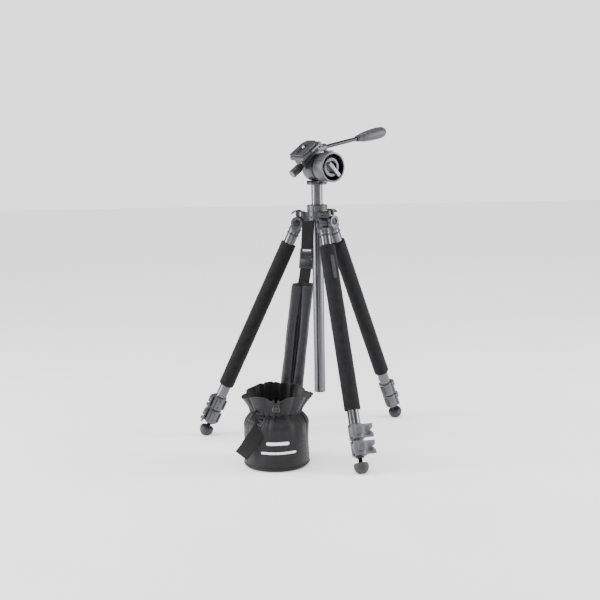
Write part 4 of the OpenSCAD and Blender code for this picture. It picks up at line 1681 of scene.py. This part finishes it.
@dataclass
class Pouch:
    """The drawstring leg pouch that stands on the floor (millimetres)."""

    centre: tuple[float, float] = (-100.5, -188.0)
    radius: float = 70.4
    neck_z: float = 120.0
    neck_r: float = 52.6
    wall: float = 0.9
    around: int = 360
    webbing_w: float = 32.0

    def rim(self, angle: np.ndarray) -> tuple[np.ndarray, np.ndarray]:
        """Returns the radius and height of the ruffle's rim in each direction."""
        back = np.clip(np.sin(angle), 0, 1)
        right, left = np.clip(np.cos(angle), 0, 1), np.clip(-np.cos(angle), 0, 1)
        turn = np.mod(angle, math.tau)
        dip = np.exp(-((turn - math.radians(272)) / math.radians(15)) ** 2)
        wings = np.exp(-((turn - math.radians(238)) / math.radians(17)) ** 2)
        wings = wings + np.exp(-((turn - math.radians(306)) / math.radians(17)) ** 2)
        radius = 63 - 9.5 * back**1.2 + 15 * right**5 + 11 * left**5 + 5 * wings - 3 * dip
        height = 161.5 + 10.5 * back - 9.5 * (right**6 + left**6) - 13 * dip + 2.2 * wings
        return radius, height + 1.3 * np.sin(3 * angle + 0.6)

    def folds(self, angle: np.ndarray, count: float, seed: float) -> np.ndarray:
        """Returns uneven gathers round the pouch, about -1 in a fold and 1 on a ridge."""
        phase = count * angle + 1.5 * np.sin(2 * angle + seed) + 1.0 * np.sin(5 * angle + 2.1 * seed)
        ridge = 2 * np.abs(np.sin(phase / 2)) ** 0.75 - 1
        uneven = 0.62 + 0.38 * np.sin(4 * angle + seed * 3.3) * np.cos(3 * angle - seed)
        return ridge * uneven

    def shell_point(self, angle: np.ndarray, share: float) -> np.ndarray:
        """Returns one row of the cloth's outer face.

        Args:
            angle: the directions round the pouch.
            share: 0 at the base edge, 1 at the rim.

        Returns:
            Points in millimetres, one for each direction.
        """
        rim_r, rim_z = self.rim(angle)
        neck_z = self.neck_z + 2.5 * np.sin(angle)
        neck_r = self.neck_r + 1.6 * np.cos(2 * angle + 0.4)
        if share < 0.62:
            part = share / 0.62
            height = 0.8 + (neck_z - 0.8) * part
            body = self.radius + 0.9 * math.exp(-((height.mean() - 16)
                                                  / 16) ** 2) + 0.5 * np.sin(2 * angle + 1)
            foot = np.clip(height / 5.0, 0, 1)
            base = body - 4.5 * (1 - foot) ** 2
            close = np.clip((height - 82) / (neck_z - 82), 0, 1)
            radius = base * (1 - close**2.1) + neck_r * close**2.1 + 2.6 * np.sin(np.pi * close) ** 2
            drop = neck_z - height
            drop = np.clip(drop, 0, None)
            radius += self.folds(angle, 24, 1.3) * (3.0 * np.exp(-(drop / 18) ** 1.1) + 0.6
                                                    * np.exp(-(drop / 44) ** 2))
            radius += (self.folds(angle, 13, 0.4) * 3.4 * np.exp(-(drop / 36) ** 2)
                       * (1 - 0.7 * np.exp(-drop / 7)))
            radius -= 3.0 * np.exp(-(drop / 34) ** 2) * (1 - np.exp(-drop / 9)) * 0.6
            radius += 0.35 * np.sin(5 * angle + height * 0.07) * np.exp(-((height - 40) / 40) ** 2)
        else:
            part = (share - 0.62) / 0.38
            height = neck_z + (rim_z - neck_z) * part
            flare = neck_r + (rim_r - neck_r) * part**1.3
            channel = 1.4 * math.exp(-((part - 0.10) / 0.09) ** 2)
            radius = flare + channel
            radius += self.folds(angle, 24, 1.3) * (0.6 + 2.4 * math.exp(-((part / 0.4) ** 2)))
            radius += self.folds(angle, 13, 0.4) * (1.6 + 3.4 * part) * min(1.0, part * 3)
            height = (height + self.folds(angle, 13, 0.4) * 1.5 * part
                      + self.folds(angle, 24, 1.3) * 0.7 * part)
        return np.stack([self.centre[0] + radius * np.cos(angle),
                         self.centre[1] + radius * np.sin(angle), height], axis=1)

    def surface(self, angle: float, height: float, lift: float = 0.0) -> np.ndarray:
        """Returns the point on the cloth in one direction at one height, in millimetres."""
        turn = np.array([angle])
        low, high = 0.0, 1.0
        for _ in range(24):
            middle = (low + high) / 2
            if self.shell_point(turn, middle)[0][2] < height:
                low = middle
            else:
                high = middle
        point = self.shell_point(turn, (low + high) / 2)[0]
        return point + np.array([math.cos(angle), math.sin(angle), 0]) * lift

    def build(self) -> None:
        """Builds the pouch and everything on it."""
        self.build_shell()
        self.build_base_piping()
        self.build_hems()
        self.build_marks()
        self.build_cord()
        self.build_adjuster()

    def build_shell(self) -> None:
        """Builds the cloth: base, body, gathered neck and ruffle, with its thickness."""
        angle = np.linspace(0, math.tau, self.around, endpoint=False)
        rows = [self.shell_point(angle, share)
                for share in np.concatenate([np.linspace(0, 0.45, 26)[:-1],
                                             np.linspace(0.45, 1, 62)])]
        edge = rows[0]
        middle = np.array([self.centre[0], self.centre[1], 0.0])
        base = []
        for share in (0.04, 0.3, 0.6, 0.85, 0.97):
            ring = middle + (edge - middle) * share
            ring[:, 2] = 0.55 + 0.25 * max(0.0, share - 0.9) * 10
            base.append(ring)
        points = np.concatenate(base + rows)
        total = len(base) + len(rows)
        faces = grid_faces(total, self.around, True)
        faces.append(tuple(range(self.around - 1, -1, -1)))
        uv = np.array([(column / self.around,
                        row / total) for row in range(total) for column in range(self.around)])
        shell = mesh_piece("pouch_cloth_shell", points * MM, faces, uv)
        self.even_uv(shell)
        with editing(shell, "FACE"):
            bpy.ops.mesh.select_all(action="SELECT")
            bpy.ops.mesh.normals_make_consistent(inside=False)
        wall = shell.modifiers.new("wall", "SOLIDIFY")
        wall.thickness = self.wall * MM
        wall.offset = -1
        apply_modifiers(shell)
        smooth(shell, 70)
        fit(shell, "shoulder", POUCH_CLOTH, ["pouch_body"])

    def even_uv(self, shell: bpy.types.Object) -> None:
        """Sets the UVs by real distance, so that the weave keeps its size."""
        weave_height = 0.5
        layer = shell.data.uv_layers["UVMap"]
        for loop in shell.data.loops:
            spot = shell.data.vertices[loop.vertex_index].co
            u, _ = layer.data[loop.index].uv
            layer.data[loop.index].uv = (u, spot.z / weave_height)

    def build_base_piping(self) -> None:
        """Builds the piping round the base seam."""
        angle = np.linspace(0, math.tau, 200, endpoint=False)
        path = self.shell_point(angle, 0.035)
        path[:, :2] += np.stack([np.cos(angle), np.sin(angle)], axis=1) * 0.5
        piping = round_tube("pouch_base_piping", path * MM, 1.15, 10, closed=True)
        fit(piping, "shoulder", CORD_BRAID)

    def build_hems(self) -> None:
        """Builds the rolled rim."""
        angle = np.linspace(0, math.tau, 420, endpoint=False)
        rim = self.shell_point(angle, 1.0)
        rim[:, :2] -= np.stack([np.cos(angle), np.sin(angle)], axis=1) * 0.45
        hem = round_tube("pouch_rim_hem", rim * MM, 1.0, 10, closed=True)
        fit(hem, "shoulder", HEM_CLOTH)

    def build_marks(self) -> None:
        """Lays two plain white bars on the front."""
        for number, (middle, height, width,
                     tall) in enumerate(((-96.5, 64.0, 50.0, 7.0), (-95.0, 43.0, 76.0, 5.0))):
            columns, rows = 61, 9
            points = []
            for row in range(rows):
                up = (row / (rows - 1) * 2 - 1) * tall / 2
                for column in range(columns):
                    share = column / (columns - 1) * 2 - 1
                    reach = width / 2 - tall / 2 + math.sqrt(max(0.0, (tall / 2) ** 2 - up**2))
                    x = middle + share * reach - self.centre[0]
                    angle = -math.acos(max(-1.0, min(1.0, x / self.radius)))
                    points.append(self.surface(angle, height + up, 0.22))
            mark = mesh_piece(f"pouch_plain_mark_{number + 1}", np.array(points) * MM,
                              grid_faces(rows, columns, False))
            wall = mark.modifiers.new("wall", "SOLIDIFY")
            wall.thickness = 0.2 * MM
            wall.offset = 0
            apply_modifiers(mark)
            smooth(mark, 50)
            fit(mark, "shoulder", WHITE_PRINT)

    def build_cord(self) -> None:
        """Builds the draw cord round the neck, its two ends and the cord lock on them."""
        angle = np.linspace(0, math.tau, 260, endpoint=False)
        ring = np.stack([self.centre[0] + (self.neck_r + 1.9 + 0.6 * np.sin(13 * angle))
                         * np.cos(angle),
                         self.centre[1] + (self.neck_r + 1.9 + 0.6 * np.sin(13 * angle))
                         * np.sin(angle),
                         self.neck_z + 2.5 * np.sin(angle) + 0.4 * np.sin(9 * angle)], axis=1)
        cord = round_tube("pouch_draw_cord", ring * MM, 1.45, 10, closed=True)
        fit(cord, "shoulder", CORD_BRAID, ["pouch_drawcord"])
        x = self.centre[0] + 2.0
        for number, side in enumerate((-1, 1)):
            strand = curve_through([(x + side * 5.5, -242.8, 118.8),
                                    (x + side * 5.2, -247.5, 121.5),
                                    (x + side * 4.4, -253.5, 126.5),
                                    (x + side * 3.7, -258.6, 133), (x + side * 3.4, -262.2, 141),
                                    (x + side * 3.4, -264.6, 149),
                                    (x + side * 3.6, -266.4, 158), (x + side * 5.0, -269.4, 163),
                                    (x + side * 7.0, -272.4, 160)], 60)
            end = round_tube(f"pouch_cord_end_{number + 1}", strand, 1.3, 10)
            fit(end, "shoulder", CORD_BRAID)
            knot = self.build_knot(number, strand[-1])
        self.build_cord_lock(x)

    def build_knot(self, number: int, where: np.ndarray) -> bpy.types.Object:
        """Builds the knot at one end of the draw cord."""
        turns = np.linspace(0, math.tau * 1.75, 40)
        loop = np.stack([2.1 * np.cos(turns), 1.6 * np.sin(turns), 0.9 * np.sin(turns * 1.5)],
                        axis=1) * MM + where
        knot = round_tube(f"pouch_cord_knot_{number + 1}", loop, 1.3, 10)
        return fit(knot, "shoulder", CORD_BRAID)

    def build_cord_lock(self, x: float) -> None:
        """Builds the spring cord lock: a flattened barrel with a plunger on top."""
        barrel = slab("cord_lock_barrel", (-8.0, -5.0, -5.0), (8.0, 5.0, 5.5), 2.6, 5)
        tools = [slab("slot", (-6.0, -2.0, -9), (6.0, 2.0, -3), 0.9, 3)]
        barrel = cut_out(barrel, tools)
        plunger = slab("cord_lock_plunger", (-5.6, -3.8, 4.5), (5.6, 3.8, 10.5), 1.5, 4)
        ridges = [slab(f"ridge_{k}", (-6.6, -5.5, -2.8 + 3.0 * k), (6.6, -4.4, -1.5 + 3.0 * k), 0.5,
                       3) for k in range(2)]
        lock = joined("cord_lock_body", [barrel, plunger] + ridges)
        smooth(lock, 35)
        lean = Matrix.Rotation(math.radians(-16), 4, "X")
        fit(place(lock, Matrix.Translation((x * MM, -262.0 * MM, 140 * MM)) @ lean), "shoulder",
            BUCKLE_PLASTIC)

    def build_adjuster(self) -> None:
        """Builds the ladder buckle at the left of the neck and the loose webbing tail."""
        path = curve_through([(-131.0, -233.5, 117), (-131.0, -241.5, 103), (-141.0, -251.5, 86),
                              (-154.0, -253.6, 68), (-165.5, -250.4, 50),
                              (-176.5, -244.0, 35.5)], 90)
        tail = webbing("pouch_webbing_tail", path, (0.83, -0.10, -0.55), self.webbing_w, 1.5)
        fit(tail, "shoulder", STRAP_WEBBING)
        frame_x = Vector((0.86, -0.34, -0.38)).normalized()
        down = Vector((-0.28, -0.48, -0.83)).normalized()
        down = (down - frame_x * down.dot(frame_x)).normalized()
        out = frame_x.cross(down)
        turn = Matrix((frame_x, out, -down)).transposed().to_4x4()
        if turn.to_3x3().determinant() < 0:
            turn = Matrix((frame_x, -out, -down)).transposed().to_4x4()
        bars = [slab("bar", (-15.5, -1.8, height - 1.5), (15.5, 1.8, height + 1.5), 1.0,
                     4) for height in (-9.0, 0.0, 9.0)]
        cheeks = [slab("cheek", (side * 15.0 - 1.7, -2.2, -10.5), (side * 15.0 + 1.7, 2.2, 10.5),
                       1.3, 4) for side in (-1, 1)]
        lift = slab("lift", (-9, -2.4, 8.2), (9, 1.0, 13.5), 1.2, 4)
        ladder = joined("pouch_ladder_buckle", bars + cheeks + [lift])
        smooth(ladder, 35)
        fit(place(ladder, Matrix.Translation((-140.5 * MM, -236.5 * MM, 113 * MM)) @ turn),
            "shoulder", BUCKLE_PLASTIC)
        keep = curve_through([(-137.0, -225.0, 124), (-139.0, -231.5, 124), (-140.5, -236.0, 120),
                              (-140.5, -237.5, 114)], 30)
        tab = webbing("pouch_buckle_tab", keep, (0.84, -0.36, -0.3), 24.0, 1.4)
        fit(tab, "shoulder", STRAP_WEBBING)


# ---------------------------------------------------------------------------
# Studio
# ---------------------------------------------------------------------------


@dataclass
class Studio:
    """The camera, the pale floor, the soft lights and the surround (metres)."""

    eye: tuple[float, float, float] = (-0.0433, -2.6763, 0.7440)
    look_at: tuple[float, float, float] = (-0.0433, 0.0, 0.3369)
    lens_mm: float = 69.66
    roll: float = math.radians(-1.02)

    def build_camera(self) -> None:
        """Adds the camera and makes it the scene's camera."""
        bpy.ops.object.select_all(action="DESELECT")
        bpy.ops.object.camera_add(location=self.eye)
        camera = bpy.context.object
        camera.name = "studio_camera"
        camera.data.lens = self.lens_mm
        camera.data.sensor_width = 36.0
        camera.data.clip_end = 50.0
        line = Vector(self.look_at) - Vector(self.eye)
        aim = line.to_track_quat("-Z", "Y").to_matrix().to_4x4()
        camera.matrix_world = Matrix.Translation(self.eye) @ aim @ Matrix.Rotation(self.roll, 4, "Z")
        bpy.context.scene.camera = camera

    def build_floor(self) -> None:
        """Adds a large pale floor."""
        bpy.ops.object.select_all(action="DESELECT")
        bpy.ops.mesh.primitive_grid_add(x_subdivisions=16, y_subdivisions=16, size=16.0)
        floor = named(bpy.context.object, "studio_floor")
        recipe = Recipe("studio floor")
        cloud = recipe.grain(recipe.place(), 3.0, 2)
        recipe.feed(recipe.shader, "Base Color",
                    recipe.ramp(cloud, (0.86, 0.86, 0.86), (0.90, 0.90, 0.90)))
        recipe.shader.inputs["Roughness"].default_value = 0.9
        recipe.shader.inputs["Emission Color"].default_value = (1.0, 1.0, 1.0, 1)
        recipe.shader.inputs["Emission Strength"].default_value = 0.5
        floor.data.materials.append(recipe.material)

    def build_world(self) -> None:
        """Sets a pale surround whose reflection is dark behind the camera and bright at the sides."""
        world = bpy.data.worlds.new("studio world")
        world.use_nodes = True
        bpy.context.scene.world = world
        tree = world.node_tree
        plain = tree.nodes["Background"]
        plain.inputs["Color"].default_value = (1.0, 1.0, 1.0, 1)
        plain.inputs["Strength"].default_value = 2.0
        where = tree.nodes.new("ShaderNodeSeparateXYZ")
        tree.links.new(tree.nodes.new("ShaderNodeTexCoord").outputs["Generated"], where.inputs[0])
        sideways = tree.nodes.new("ShaderNodeMath")
        sideways.operation = "ABSOLUTE"
        tree.links.new(where.outputs["X"], sideways.inputs[0])
        level = tree.nodes.new("ShaderNodeMapRange")
        tree.links.new(sideways.outputs[0], level.inputs["Value"])
        for name, value in (("From Min", 0.30), ("From Max", 0.85), ("To Min", 0.10),
                            ("To Max", 0.95)):
            level.inputs[name].default_value = value
        shaped = tree.nodes.new("ShaderNodeBackground")
        tree.links.new(level.outputs[0], shaped.inputs["Strength"])
        choice = tree.nodes.new("ShaderNodeMixShader")
        tree.links.new(tree.nodes.new("ShaderNodeLightPath").outputs["Is Camera Ray"],
                       choice.inputs[0])
        tree.links.new(shaped.outputs[0], choice.inputs[1])
        tree.links.new(plain.outputs[0], choice.inputs[2])
        tree.links.new(choice.outputs[0], tree.nodes["World Output"].inputs["Surface"])

    def add_light(self, name: str, where: Point, size: tuple[float, float], power: float) -> None:
        """Adds a soft rectangular light aimed at the object.

        Args:
            name: the light's name.
            where: its place.
            size: its width and height.
            power: its power in watts.
        """
        bpy.ops.object.select_all(action="DESELECT")
        bpy.ops.object.light_add(type="AREA", location=where)
        light = bpy.context.object
        light.name = name
        light.data.shape = "RECTANGLE"
        light.data.size, light.data.size_y = size
        light.data.energy = power
        aim = (Vector((0, 0, 0.4)) - Vector(where)).to_track_quat("-Z", "Y")
        light.rotation_euler = aim.to_euler()

    def build_lights(self) -> None:
        """Adds a soft light on each side and one overhead."""
        self.add_light("left_softbox", (-2.4, -0.4, 0.9), (0.8, 2.2), 85)
        self.add_light("right_softbox", (2.4, -0.2, 0.9), (0.8, 2.2), 80)
        self.add_light("front_softbox", (-0.6, -3.4, 2.6), (1.6, 1.0), 38)
        bpy.ops.object.select_all(action="DESELECT")
        bpy.ops.object.light_add(type="SUN", location=(0, 0, 4),
                                 rotation=(math.radians(6), math.radians(-8), 0))
        sky = bpy.context.object
        sky.name = "overhead_panel"
        sky.data.energy = 3.6
        sky.data.angle = math.radians(70)


def main() -> None:
    """Builds the tripod, its strap, its pouch and the studio."""
    logging.basicConfig(level=logging.INFO, format="%(name)s: %(message)s")
    studio = Studio()
    studio.build_camera()
    Pouch().build()
    Shoulder().build()
    Column().build()
    for side in LegSide:
        Leg(side).build()
    Head().build()
    Strap().build()
    studio.build_floor()
    studio.build_world()
    studio.build_lights()


if __name__ == "__main__":
    main()
